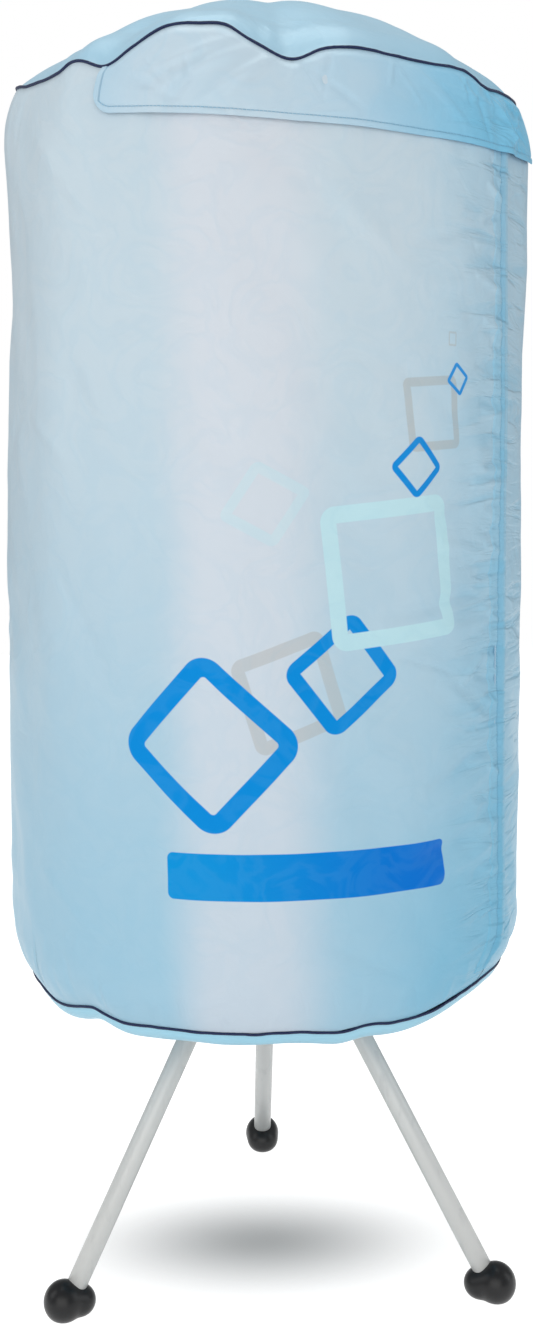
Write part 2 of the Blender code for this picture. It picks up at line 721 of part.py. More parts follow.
def slider_mesh():
    """Two plates joined by a wedge, with a bridge and a pull on the outer plate. +X is outwards."""
    inner = TOOTH_THICKNESS / 2 + SEAT_GAP
    outer = inner + SLIDER_PLATE
    half_width, half_length = SLIDER_WIDTH / 2, SLIDER_LENGTH / 2
    neck = SLIDER_NECK / 2
    pull_inner = outer + 2 * SEAT_GAP
    pull_outer = pull_inner + SLIDER_PLATE
    bridge_low = half_length * 0.1
    model = bmesh.new()
    section = [
        (-outer, -half_width), (-inner, -half_width), (-inner, -neck), (inner, -neck), (inner, -half_width),
        (outer, -half_width), (outer, half_width), (inner, half_width), (inner, neck), (-inner, neck),
        (-inner, half_width), (-outer, half_width),
    ]
    wedge_low = half_length - SLIDER_PLATE * 4
    add_prism(model, section, wedge_low, half_length, along_z)
    for side in (-1, 1):
        faces = sorted((side * inner, side * outer))
        plate_top = wedge_low + SEAT_GAP
        add_block(model, (faces[0], -half_width, -half_length), (faces[1], half_width, plate_top))
    add_block(model, (inner + SEAT_GAP, -neck, bridge_low), (pull_outer, neck, half_length - SEAT_GAP))
    pull_low = half_length - PULL_LENGTH
    half_pull = PULL_WIDTH / 2
    pull_top = half_length - 2 * SEAT_GAP
    add_block(model, (pull_inner, -half_pull, pull_low), (pull_outer - SEAT_GAP, half_pull, pull_top))
    mesh = finished("zip_slider_parts", model)
    parts = helper("zip_slider_parts", mesh)
    whole = bmesh.new()
    add_block(
        whole, (inner + SEAT_GAP, -neck, wedge_low + SEAT_GAP),
        (outer - SEAT_GAP, neck, half_length - SEAT_GAP),
    )
    seed = helper("zip_slider_seed", finished("zip_slider_seed", whole))
    modified(seed, "BOOLEAN", "join_parts", operation="UNION", object=parts, use_self=True)
    bpy.context.view_layer.update()
    evaluated = seed.evaluated_get(bpy.context.evaluated_depsgraph_get())
    joined = bpy.data.meshes.new_from_object(evaluated)
    joined.name = "zip_slider"
    return joined


# Folding tripod

def build_tripod(finishes):
    """The hub under the heater and three legs, each on its own pin."""
    flange_top = HEATER_BOTTOM - SEAT_GAP
    flange_bottom = flange_top - HUB_FLANGE_THICKNESS
    boss_bottom = flange_bottom - HUB_BOSS_DROP
    hub_profile = [
        (0, flange_top), (HUB_FLANGE_RADIUS, flange_top), (HUB_FLANGE_RADIUS, flange_bottom),
        (HUB_BOSS_RADIUS, flange_bottom), (HUB_BOSS_RADIUS, boss_bottom),
        (HUB_BOSS_RADIUS - HUB_BOSS_WALL, boss_bottom), (HUB_BOSS_RADIUS - HUB_BOSS_WALL, flange_bottom),
        (0, flange_bottom),
    ]
    hub = place("tripod_hub", turned("tripod_hub", hub_profile, 30, closed=False), finishes["dark_plastic"])

    cheeks, holes = bmesh.new(), bmesh.new()
    cheek_inner = EYE_WIDTH / 2 + CHEEK_GAP
    cheek_outer = cheek_inner + CHEEK_THICKNESS
    outline = [
        *arc((PIVOT_RADIUS, PIVOT_HEIGHT), EYE_RADIUS, 180, 360, 8),
        (PIVOT_RADIUS + EYE_RADIUS, flange_bottom + HUB_FLANGE_THICKNESS / 2),
        (HUB_BOSS_RADIUS - HUB_BOSS_WALL / 2, flange_bottom + HUB_FLANGE_THICKNESS / 2),
        (HUB_BOSS_RADIUS - HUB_BOSS_WALL / 2, PIVOT_HEIGHT),
    ]
    for azimuth in leg_azimuths():
        turn = facing(azimuth).to_matrix().to_4x4()
        for low, high in ((-cheek_outer, -cheek_inner), (cheek_inner, cheek_outer)):
            add_prism(cheeks, outline, low, high, lambda x, z, y: turn @ Vector((x, y, z)))
        through = cheek_outer + CUT_OVERRUN
        ends = [turn @ Vector((PIVOT_RADIUS, side, PIVOT_HEIGHT)) for side in (-through, through)]
        add_rod(holes, *ends, PIN_RADIUS + SEAT_GAP, 12)
    fuse(hub, helper("hub_cheeks", finished("hub_cheeks", cheeks)))
    cut(hub, helper("hub_pin_holes", finished("hub_pin_holes", holes)))

    meshes = leg_meshes()
    for number, azimuth in enumerate(leg_azimuths(), start=1):
        build_leg(number, azimuth, meshes, finishes)


def leg_azimuths():
    """Where the legs stand: front right, front left and rear."""
    return [TRIPOD_TURN + share for share in (60, -60, 180)]


def leg_length():
    """Distance along the leg from its pin to the tube's lower end."""
    return (PIVOT_HEIGHT - LEG_END_HEIGHT) / math.cos(math.radians(LEG_SPLAY))


def leg_meshes():
    """Meshes that the three legs share, in the leg's own frame: pin at the origin, tube down -Z."""
    length = leg_length()
    bore = LEG_RADIUS - LEG_WALL
    tube = turned("leg_tube", [
        (LEG_RADIUS, -LEG_START), (LEG_RADIUS, -length), (bore, -length), (bore, -LEG_START),
    ], 16)
    shank = bore - SEAT_GAP
    collar_low = -LEG_START + SEAT_GAP
    shank_end = collar_low - SHANK_DEPTH
    neck = EYE_WIDTH / 2 - SEAT_GAP
    stub = turned("leg_shank", [
        (0, -EYE_RADIUS / 2), (neck, -EYE_RADIUS / 2), (neck, collar_low + COLLAR_LENGTH),
        (LEG_RADIUS, collar_low + COLLAR_LENGTH * 0.7), (LEG_RADIUS, collar_low), (shank, collar_low),
        (shank, shank_end), (0, shank_end),
    ], 16, closed=False)
    eye = prism("leg_eye", arc((0, 0), EYE_RADIUS, 0, 337.5, 15), -EYE_WIDTH / 2, EYE_WIDTH / 2, along_y)
    hole = bmesh.new()
    running_radius = (PIN_RADIUS + PIN_GAP) / math.cos(math.pi / 12)
    add_rod(hole, (0, -EYE_WIDTH, 0), (0, EYE_WIDTH, 0), running_radius, 12)
    pin = bmesh.new()
    reach = EYE_WIDTH / 2 + CHEEK_GAP + CHEEK_THICKNESS
    pin_end = reach + PIN_HEAD_THICKNESS / 2
    add_rod(pin, (0, -pin_end, 0), (0, pin_end, 0), PIN_RADIUS, 12)
    head = bmesh.new()
    for side in (-1, 1):
        near = side * (reach + SEAT_GAP)
        add_rod(head, (0, near, 0), (0, near + side * PIN_HEAD_THICKNESS, 0), PIN_HEAD_RADIUS, 12)
    return {
        "tube": tube, "eye": eye, "stub": helper("leg_stub", stub),
        "hole": helper("leg_eye_hole", finished("leg_eye_hole", hole)),
        "pin": finished("leg_pin", pin), "head": helper("leg_pin_heads", finished("leg_pin_heads", head)),
        "boot": boot_rings(),
    }


def boot_rings():
    """Rings of the rubber boot, in a frame on the floor under the leg's line, +X outwards.

    Each ring is an ellipse. They go from the sole's outline to the sleeve's round end, which leans with
    the leg.
    """
    splay = math.radians(LEG_SPLAY)
    sole_middle = BOOT_TOE_OVERHANG - BOOT_LENGTH / 2
    sleeve = LEG_RADIUS + BOOT_WALL
    height_and_size_shares = (
        (0.00, 0.86), (0.07, 1.00), (0.26, 1.04), (0.46, 0.82), (0.66, 0.32), (0.84, 0.04), (1.00, 0.00),
    )
    rings = []
    for height_share, size_share in height_and_size_shares:
        height = BOOT_HEIGHT * height_share
        follow = smooth(height_share * 1.3)
        middle = mixed(sole_middle, -height * math.tan(splay), follow)
        lean = -splay * smooth((height_share - 0.2) / 0.8)
        long = mixed(sleeve, BOOT_LENGTH / 2, size_share)
        wide = mixed(sleeve, BOOT_WIDTH / 2, size_share)
        ring = []
        for side in range(16):
            angle = math.tau * side / 16
            along = long * math.cos(angle)
            ring.append((
                middle + along * math.cos(lean), wide * math.sin(angle), height - along * math.sin(lean),
            ))
        rings.append(ring)
    return rings


def build_leg(number, azimuth, meshes, finishes):
    """One leg: knuckle, tube, boot and pin on a pivot that folds inwards."""
    side = ("front_right", "front_left", "rear")[number - 1]
    hinge = pivot("leg_pivot_" + side, at(azimuth, PIVOT_RADIUS, PIVOT_HEIGHT), facing(azimuth))
    splay = (0, -math.radians(LEG_SPLAY), 0)
    dark = finishes["dark_plastic"]
    foot_x = PIVOT_HEIGHT * math.tan(math.radians(LEG_SPLAY))
    foot = (foot_x, 0, -PIVOT_HEIGHT)
    place("leg_tube_" + side, meshes["tube"], finishes["grey_steel"], rotation=splay, parent=hinge)
    knuckle = place("leg_knuckle_" + side, meshes["eye"], dark, rotation=splay, parent=hinge)
    fuse(knuckle, copied(meshes["stub"], side, hinge, splay))
    cut(knuckle, copied(meshes["hole"], side, hinge, splay))
    pin_point = at(azimuth, PIVOT_RADIUS, PIVOT_HEIGHT)
    pin = place("leg_pin_" + side, meshes["pin"], finishes["steel"], pin_point, facing(azimuth))
    heads = copied(meshes["head"], side, None, facing(azimuth))
    heads.location = pin.location
    fuse(pin, heads)

    boot = lofted("leg_boot_" + side, meshes["boot"], finishes["rubber"], parent=hinge, location=foot)
    bore = bmesh.new()
    add_rod(bore, (0, 0, -LEG_START), (0, 0, -leg_length() - SEAT_GAP), LEG_RADIUS + SEAT_GAP, 16)
    cut(boot, helper("boot_bore_" + side, finished("boot_bore", bore), rotation=splay, parent=hinge))


def copied(source, suffix, parent, rotation):
    """The same helper shape, carried by another pivot."""
    return helper(source.name + "_" + suffix, source.data, rotation=rotation, parent=parent)


# Heater and fan unit

BASE_TOP = HEATER_BOTTOM + BASE_HEIGHT
INNER_RADIUS = HEATER_RADIUS - HEATER_WALL
FLOOR_TOP = HEATER_BOTTOM + HEATER_WALL
LEDGE_HEIGHT = BASE_TOP - LEDGE_DEPTH
CROWN_BOTTOM = BASE_TOP + SEAT_GAP
MOTOR_BOTTOM = FLOOR_TOP + MOUNT_WALL + 2 * SEAT_GAP
FAN_BOTTOM = MOTOR_BOTTOM + MOTOR_HEIGHT + FAN_GAP
FAN_TOP = FAN_BOTTOM + FAN_HUB_HEIGHT
FLANGE_TOP = LEDGE_HEIGHT + SEAT_GAP + FLANGE_THICKNESS
TRAY_TOP = FLANGE_TOP + SEAT_GAP + TRAY_HEIGHT
SOCKET_FLOOR = CROWN_BOTTOM + CROWN_HEIGHT - SOCKET_WEB


def build_heater(finishes):
    """The heater and fan unit, from its base shell up."""
    build_base_shell(finishes)
    build_crown_shell(finishes)
    build_fan(finishes)
    build_element(finishes)
    build_controls(finishes)


def radial_slots(name, count, inner, outer, low, high):
    """Boxes that cut a ring of radial slots."""
    model = bmesh.new()
    for index in range(count):
        turn = 360 * (index + 0.5) / count
        add_block(model, (inner, -GRILLE_SLOT / 2, low), (outer, GRILLE_SLOT / 2, high), turn)
    return helper(name, finished(name, model))


def build_base_shell(finishes):
    """The lower shell: a pan with an air intake grille and a ledge for the fan duct."""
    ledge_radius = INNER_RADIUS + LEDGE_WIDTH
    profile = [
        (0, HEATER_BOTTOM), (HEATER_RADIUS - HEATER_WALL, HEATER_BOTTOM),
        (HEATER_RADIUS, HEATER_BOTTOM + HEATER_WALL), (HEATER_RADIUS, BASE_TOP), (ledge_radius, BASE_TOP),
        (ledge_radius, LEDGE_HEIGHT), (INNER_RADIUS, LEDGE_HEIGHT), (INNER_RADIUS, FLOOR_TOP),
        (0, FLOOR_TOP),
    ]
    shell = turned("heater_base", profile, ROUND_STEPS, closed=False)
    base = place("heater_base", shell, finishes["white_plastic"])
    cut(base, radial_slots(
        "intake_slots", INTAKE_SLOTS, INTAKE_INNER_RADIUS, INTAKE_OUTER_RADIUS,
        HEATER_BOTTOM - CUT_OVERRUN, FLOOR_TOP + CUT_OVERRUN,
    ))
    holes = bmesh.new()
    near, far = INNER_RADIUS * 0.9, HEATER_RADIUS + CUT_OVERRUN
    for side in (-1, 1):
        x = side * CONTROL_SPACING / 2
        add_rod(holes, (x, -near, CONTROL_HEIGHT), (x, -far, CONTROL_HEIGHT), STEM_RADIUS + LEDGE_WIDTH, 12)
    add_rod(holes, (0, near, GLAND_HEIGHT), (0, far, GLAND_HEIGHT), GLAND_NECK_RADIUS + SEAT_GAP, 16)
    cut(base, helper("base_wall_holes", finished("base_wall_holes", holes)))


def build_crown_shell(finishes):
    """The upper shell: a rounded shoulder, a coned top with outlet louvres and the pole's socket."""
    edge = CROWN_BOTTOM + CROWN_EDGE_HEIGHT
    top = CROWN_BOTTOM + CROWN_HEIGHT
    rim = top + SOCKET_HEIGHT
    bore = POLE_RADIUS + SEAT_GAP
    shoulder = arc((HEATER_RADIUS - EDGE_ROUND, edge), EDGE_ROUND, 0, 60, 3)
    inner_round = EDGE_ROUND - HEATER_WALL
    inner_shoulder = arc((HEATER_RADIUS - EDGE_ROUND, edge), inner_round, 60, 0, 3)
    profile = [
        (HEATER_RADIUS, CROWN_BOTTOM), *shoulder, (CROWN_INNER_RADIUS, top - HEATER_WALL / 2),
        (SOCKET_RADIUS + HEATER_WALL, top), (SOCKET_RADIUS, top + HEATER_WALL),
        (SOCKET_RADIUS - LEDGE_WIDTH, rim),
        (bore, rim), (bore, SOCKET_FLOOR), (0, SOCKET_FLOOR), (0, SOCKET_FLOOR - SOCKET_WEB),
        (CROWN_INNER_RADIUS, top - 2 * HEATER_WALL), *inner_shoulder, (INNER_RADIUS, CROWN_BOTTOM),
    ]
    axis_end = profile.index((0, SOCKET_FLOOR)) + 1
    profile = profile[axis_end:] + profile[:axis_end]
    shell = turned("heater_top", profile, ROUND_STEPS, closed=False)
    crown = place("heater_top", shell, finishes["white_plastic"])
    cut(crown, radial_slots(
        "outlet_louvres", OUTLET_SLOTS, OUTLET_INNER_RADIUS, OUTLET_OUTER_RADIUS,
        edge - EDGE_ROUND, top + CUT_OVERRUN,
    ))


def build_fan(finishes):
    """The motor in its cup, the duct ring, and the fan with its twisted blades."""
    steel = finishes["steel"]
    foot = FLOOR_TOP + SEAT_GAP
    cup_inner = MOTOR_RADIUS + SEAT_GAP
    cup_outer = cup_inner + MOUNT_WALL
    cup = turned("motor_mount", [
        (cup_inner, foot + MOUNT_HEIGHT), (cup_outer, foot + MOUNT_HEIGHT), (cup_outer, foot + MOUNT_WALL),
        (MOUNT_FLANGE_RADIUS, foot + MOUNT_WALL), (MOUNT_FLANGE_RADIUS, foot), (MOTOR_RADIUS / 2, foot),
        (MOTOR_RADIUS / 2, foot + MOUNT_WALL), (cup_inner, foot + MOUNT_WALL),
    ], 18)
    place("motor_mount", cup, steel)
    motor_top = MOTOR_BOTTOM + MOTOR_HEIGHT
    end_radius = MOTOR_RADIUS - MOTOR_EDGE
    shaft_top = FAN_BOTTOM + FAN_HUB_HEIGHT * 0.7
    motor = turned("fan_motor", [
        (0, MOTOR_BOTTOM), (end_radius, MOTOR_BOTTOM), (MOTOR_RADIUS, MOTOR_BOTTOM + MOTOR_EDGE),
        (MOTOR_RADIUS, motor_top - MOTOR_EDGE), (end_radius, motor_top), (SHAFT_RADIUS, motor_top),
        (SHAFT_RADIUS, shaft_top), (0, shaft_top),
    ], 18, closed=False)
    place("fan_motor", motor, steel)
    duct = turned("air_duct", [
        (DUCT_RADIUS, FLANGE_TOP - DUCT_DEPTH), (DUCT_RADIUS + DUCT_WALL, FLANGE_TOP - DUCT_DEPTH),
        (DUCT_RADIUS + DUCT_WALL, FLANGE_TOP - FLANGE_THICKNESS),
        (INNER_RADIUS + LEDGE_WIDTH - SEAT_GAP, FLANGE_TOP - FLANGE_THICKNESS),
        (INNER_RADIUS + LEDGE_WIDTH - SEAT_GAP, FLANGE_TOP), (DUCT_RADIUS, FLANGE_TOP),
    ], ROUND_STEPS)
    place("air_duct", duct, finishes["dark_plastic"])

    bore = (SHAFT_RADIUS + PIN_GAP) / math.cos(math.pi / 18)
    spin = pivot("fan_axis", (0, 0, FAN_BOTTOM))
    hub_edge = FAN_HUB_RADIUS * 0.9
    bore_top = shaft_top - FAN_BOTTOM + SEAT_GAP
    hub = turned("fan_impeller", [
        (bore, 0), (FAN_HUB_RADIUS, 0), (FAN_HUB_RADIUS, FAN_HUB_HEIGHT * 0.85), (hub_edge, FAN_HUB_HEIGHT),
        (0, FAN_HUB_HEIGHT), (0, bore_top), (bore, bore_top),
    ], 18)
    impeller = place("fan_impeller", hub, finishes["white_plastic"], parent=spin)
    blades = bmesh.new()
    for index in range(BLADE_COUNT):
        add_blade(blades, 360 * index / BLADE_COUNT)
    fuse(impeller, helper("fan_blades", finished("fan_blades", blades), parent=spin))
    cap = turned("fan_cap", [
        (0, FAN_HUB_HEIGHT + SEAT_GAP), (FAN_CAP_RADIUS, FAN_HUB_HEIGHT + SEAT_GAP),
        (FAN_CAP_RADIUS * 0.8, FAN_HUB_HEIGHT + SEAT_GAP + FAN_CAP_HEIGHT * 0.7),
        (0, FAN_HUB_HEIGHT + SEAT_GAP + FAN_CAP_HEIGHT),
    ], 12, closed=False)
    place("fan_cap", cap, finishes["dark_plastic"], parent=spin)


def add_blade(model, turn):
    """A blade lofted over sections whose pitch eases and whose chord grows from root to tip."""
    sections = []
    turning = Matrix.Rotation(math.radians(turn), 4, "Z")
    for share in (0, 0.33, 0.66, 1):
        radius = mixed(FAN_HUB_RADIUS * 0.9, FAN_RADIUS, share)
        pitch = math.radians(mixed(BLADE_ROOT_PITCH, BLADE_TIP_PITCH, share))
        half = mixed(BLADE_ROOT_CHORD, BLADE_TIP_CHORD, share) / 2
        camber = half * 0.12
        outline = (
            (-half, 0), (0, camber - BLADE_THICKNESS / 2), (half, 0), (0, camber + BLADE_THICKNESS / 2),
        )
        ring = []
        for along, up in outline:
            angle = along * math.cos(pitch) / radius
            height = FAN_HUB_HEIGHT / 2 + along * math.sin(pitch) + up
            ring.append(turning @ Vector((radius * math.cos(angle), radius * math.sin(angle), height)))
        sections.append([model.verts.new(point) for point in ring])
    for low, high in zip(sections, sections[1:]):
        for side in range(4):
            after = (side + 1) % 4
            model.faces.new((low[side], low[after], high[after], high[side]))
    model.faces.new(sections[0])
    model.faces.new(sections[-1])


def build_element(finishes):
    """The finned heating element on its tray over the duct, with its thermal cut-out."""
    steel = finishes["steel"]
    foot = FLANGE_TOP + SEAT_GAP
    rim = INNER_RADIUS - SEAT_GAP - CLOTH_THICKNESS
    tray = place("heater_tray", turned("heater_tray", [
        (rim, foot), (rim, TRAY_TOP), (0, TRAY_TOP), (0, TRAY_TOP - TRAY_THICKNESS),
        (rim - TRAY_THICKNESS, TRAY_TOP - TRAY_THICKNESS), (rim - TRAY_THICKNESS, foot),
    ], ROUND_STEPS), steel)
    window = bmesh.new()
    half_long, half_wide = ELEMENT_LENGTH / 2 - ELEMENT_FRAME, ELEMENT_WIDTH / 2 - ELEMENT_FRAME
    add_block(
        window, (-half_long, -half_wide, TRAY_TOP - TRAY_THICKNESS - CUT_OVERRUN),
        (half_long, half_wide, TRAY_TOP + CUT_OVERRUN),
    )
    cut(tray, helper("tray_window", finished("tray_window", window)))

    low, high = TRAY_TOP + SEAT_GAP, TRAY_TOP + SEAT_GAP + ELEMENT_HEIGHT
    body = bmesh.new()
    add_block(
        body, (-ELEMENT_LENGTH / 2, -ELEMENT_WIDTH / 2, low),
        (ELEMENT_LENGTH / 2, ELEMENT_WIDTH / 2, high),
    )
    element = place("heating_element", finished("heating_element", body), finishes["aluminium"])
    cells = bmesh.new()
    pitch_long = 2 * half_long / ELEMENT_CELLS_LONG
    pitch_wide = 2 * half_wide / ELEMENT_CELLS_WIDE
    for column in range(ELEMENT_CELLS_LONG):
        for row in range(ELEMENT_CELLS_WIDE):
            x, y = -half_long + pitch_long * column, -half_wide + pitch_wide * row
            add_block(
                cells, (x + ELEMENT_BAR / 2, y + ELEMENT_BAR / 2, low - CUT_OVERRUN),
                (x + pitch_long - ELEMENT_BAR / 2, y + pitch_wide - ELEMENT_BAR / 2, high + CUT_OVERRUN),
            )
    cut(element, helper("element_air_cells", finished("element_air_cells", cells)))
    cutout = turned("thermal_cutout", [
        (0, 0), (CUTOUT_RADIUS, 0), (CUTOUT_RADIUS, CUTOUT_HEIGHT * 0.6),
        (CUTOUT_RADIUS * 0.6, CUTOUT_HEIGHT * 0.6), (CUTOUT_RADIUS * 0.6, CUTOUT_HEIGHT), (0, CUTOUT_HEIGHT),
    ], 12, closed=False)
    place(
        "thermal_cutout", cutout, finishes["dark_plastic"],
        (0, ELEMENT_WIDTH / 2 + CUTOUT_RADIUS + CUT_OVERRUN, TRAY_TOP + SEAT_GAP),
    )


def build_controls(finishes):
    """The control panel with its timer knob and power button, and the cord inlet at the back."""
    panel_back = math.sqrt(HEATER_RADIUS ** 2 - (PANEL_WIDTH / 2) ** 2)
    panel_front = HEATER_RADIUS + PANEL_DEPTH
    half_width, half_height = PANEL_WIDTH / 2, PANEL_HEIGHT / 2
    model = bmesh.new()
    add_block(
        model, (-half_width, -panel_front, CONTROL_HEIGHT - half_height),
        (half_width, -panel_back, CONTROL_HEIGHT + half_height),
    )
    panel = place("control_panel", finished("control_panel", model), finishes["dark_plastic"])
    modified(panel, "BEVEL", "round_edges", width=PANEL_EDGE, segments=2)
    housing = bmesh.new()
    low, high = CONTROL_HEIGHT - half_height - CUT_OVERRUN, CONTROL_HEIGHT + half_height + CUT_OVERRUN
    add_rod(housing, (0, 0, low), (0, 0, high), HEATER_RADIUS + SEAT_GAP, ROUND_STEPS)
    cut(panel, helper("housing_shape", finished("housing_shape", housing)))

    left, right = -CONTROL_SPACING / 2, CONTROL_SPACING / 2
    holes = bmesh.new()
    near, far = panel_back - CUT_OVERRUN, panel_front + CUT_OVERRUN
    for x, radius, sides in ((left, STEM_RADIUS + LEDGE_WIDTH, 12), (right, BUTTON_RADIUS + SEAT_GAP, 20)):
        add_rod(holes, (x, -near, CONTROL_HEIGHT), (x, -far, CONTROL_HEIGHT), radius, sides)
    cut(panel, helper("panel_holes", finished("panel_holes", holes)))

    box_corner = CONTROL_SPACING / 2 + CONTROL_BOX_WIDTH / 2
    flat_inner = INNER_RADIUS * math.cos(math.pi / ROUND_STEPS) - SEAT_GAP
    box_front = math.sqrt(flat_inner ** 2 - box_corner ** 2)
    stem_hole = (STEM_RADIUS + PIN_GAP) / math.cos(math.pi / 12)
    stem_end = box_front - CONTROL_BOX_DEPTH / 2
    box_back = box_front - CONTROL_BOX_DEPTH
    for name, x in (("timer_unit", left), ("power_switch", right)):
        block = bmesh.new()
        add_block(
            block, (x - CONTROL_BOX_WIDTH / 2, -box_front, CONTROL_HEIGHT - CONTROL_BOX_HEIGHT / 2),
            (x + CONTROL_BOX_WIDTH / 2, -box_back, CONTROL_HEIGHT + CONTROL_BOX_HEIGHT / 2),
        )
        unit = place(name, finished(name, block), finishes["dark_plastic"])
        socket = bmesh.new()
        add_rod(
            socket, (x, -stem_end + BUTTON_TRAVEL + SEAT_GAP, CONTROL_HEIGHT),
            (x, -box_front - CUT_OVERRUN, CONTROL_HEIGHT), stem_hole, 12,
        )
        cut(unit, helper(name + "_socket", finished(name + "_socket", socket)))

    face_out = Euler((math.radians(90), 0, 0))
    knob_axis = pivot("knob_axis", (left, -panel_front - SEAT_GAP, CONTROL_HEIGHT), face_out)
    stem_length = panel_front + SEAT_GAP - stem_end
    knob = place("timer_knob", turned("timer_knob", [
        (0, -stem_length), (STEM_RADIUS, -stem_length), (STEM_RADIUS, 0), (KNOB_RADIUS, 0),
        (KNOB_RADIUS, KNOB_SKIRT * 0.7), (KNOB_RADIUS * 0.9, KNOB_SKIRT), (KNOB_GRIP_RADIUS, KNOB_SKIRT),
        (KNOB_GRIP_RADIUS * 0.93, KNOB_DEPTH * 0.93), (KNOB_GRIP_RADIUS * 0.85, KNOB_DEPTH),
        (0, KNOB_DEPTH),
    ], 20, closed=False), finishes["white_plastic"], parent=knob_axis)
    ridge = bmesh.new()
    add_block(
        ridge, (-KNOB_RIDGE / 2, 0, KNOB_SKIRT / 2),
        (KNOB_RIDGE / 2, KNOB_RADIUS * 0.86, KNOB_DEPTH + KNOB_RIDGE / 2),
    )
    fuse(knob, helper("knob_ridge", finished("knob_ridge", ridge), parent=knob_axis))

    button_axis = pivot("button_axis", (right, -panel_front, CONTROL_HEIGHT), face_out)
    cap_depth = BUTTON_TRAVEL + PANEL_EDGE
    place("power_button", turned("power_button", [
        (0, -(panel_front - stem_end)), (STEM_RADIUS, -(panel_front - stem_end)), (STEM_RADIUS, -cap_depth),
        (BUTTON_RADIUS, -cap_depth), (BUTTON_RADIUS, BUTTON_PROUD * 0.8),
        (BUTTON_RADIUS * 0.88, BUTTON_PROUD), (0, BUTTON_PROUD),
    ], 20, closed=False), finishes["white_plastic"], parent=button_axis)

    wall_out = HEATER_RADIUS + SEAT_GAP
    gland = turned("cord_gland", [
        (GLAND_BORE_RADIUS, -HEATER_WALL - GLAND_FLANGE), (GLAND_NECK_RADIUS, -HEATER_WALL - GLAND_FLANGE),
        (GLAND_NECK_RADIUS, 0), (GLAND_RADIUS, 0), (GLAND_RADIUS, GLAND_FLANGE),
        (GLAND_NECK_RADIUS, GLAND_NOSE), (GLAND_BORE_RADIUS, GLAND_NOSE),
    ], 16)
    face_back = Euler((math.radians(-90), 0, 0))
    place("cord_gland", gland, finishes["dark_plastic"], (0, wall_out, GLAND_HEIGHT), face_back)


# Pole

def build_pole(finishes):
    """Two tubes joined by a spigot inside and a ferrule outside."""
    foot = SOCKET_FLOOR + SEAT_GAP
    bore = POLE_RADIUS - POLE_WALL
    join = POLE_JOIN_HEIGHT
    place("pole_lower", turned("pole_lower", [
        (POLE_RADIUS, foot), (POLE_RADIUS, join), (bore, join), (bore, foot),
    ], 20), finishes["grey_steel"])
    head_end = HINGE_HEIGHT - SEAT_GAP
    spigot = bore - SEAT_GAP
    low = join + SEAT_GAP
    place("pole_upper", turned("pole_upper", [
        (spigot, join - SPIGOT_DEPTH), (spigot, low), (POLE_RADIUS, low), (POLE_RADIUS, head_end),
        (bore, head_end), (bore, low + POLE_WALL), (spigot - POLE_WALL, low - POLE_WALL),
        (spigot - POLE_WALL, join - SPIGOT_DEPTH),
    ], 20), finishes["grey_steel"])
    inner, outer = POLE_RADIUS + SEAT_GAP, POLE_RADIUS + SEAT_GAP + FERRULE_WALL
    half, edge = FERRULE_HEIGHT / 2, FERRULE_WALL / 2
    place("pole_ferrule", turned("pole_ferrule", [
        (inner, join - half), (outer - edge, join - half), (outer, join - half + edge),
        (outer, join + half - edge), (outer - edge, join + half), (inner, join + half),
    ], 20), finishes["dark_plastic"])


# Head and hanging arms

HINGE_HEIGHT = TOP_SEAM_HEIGHT + CROWN_RISE - ARM_HINGE_DROP
HEAD_TOP = HINGE_HEIGHT + HEAD_ABOVE_HINGE


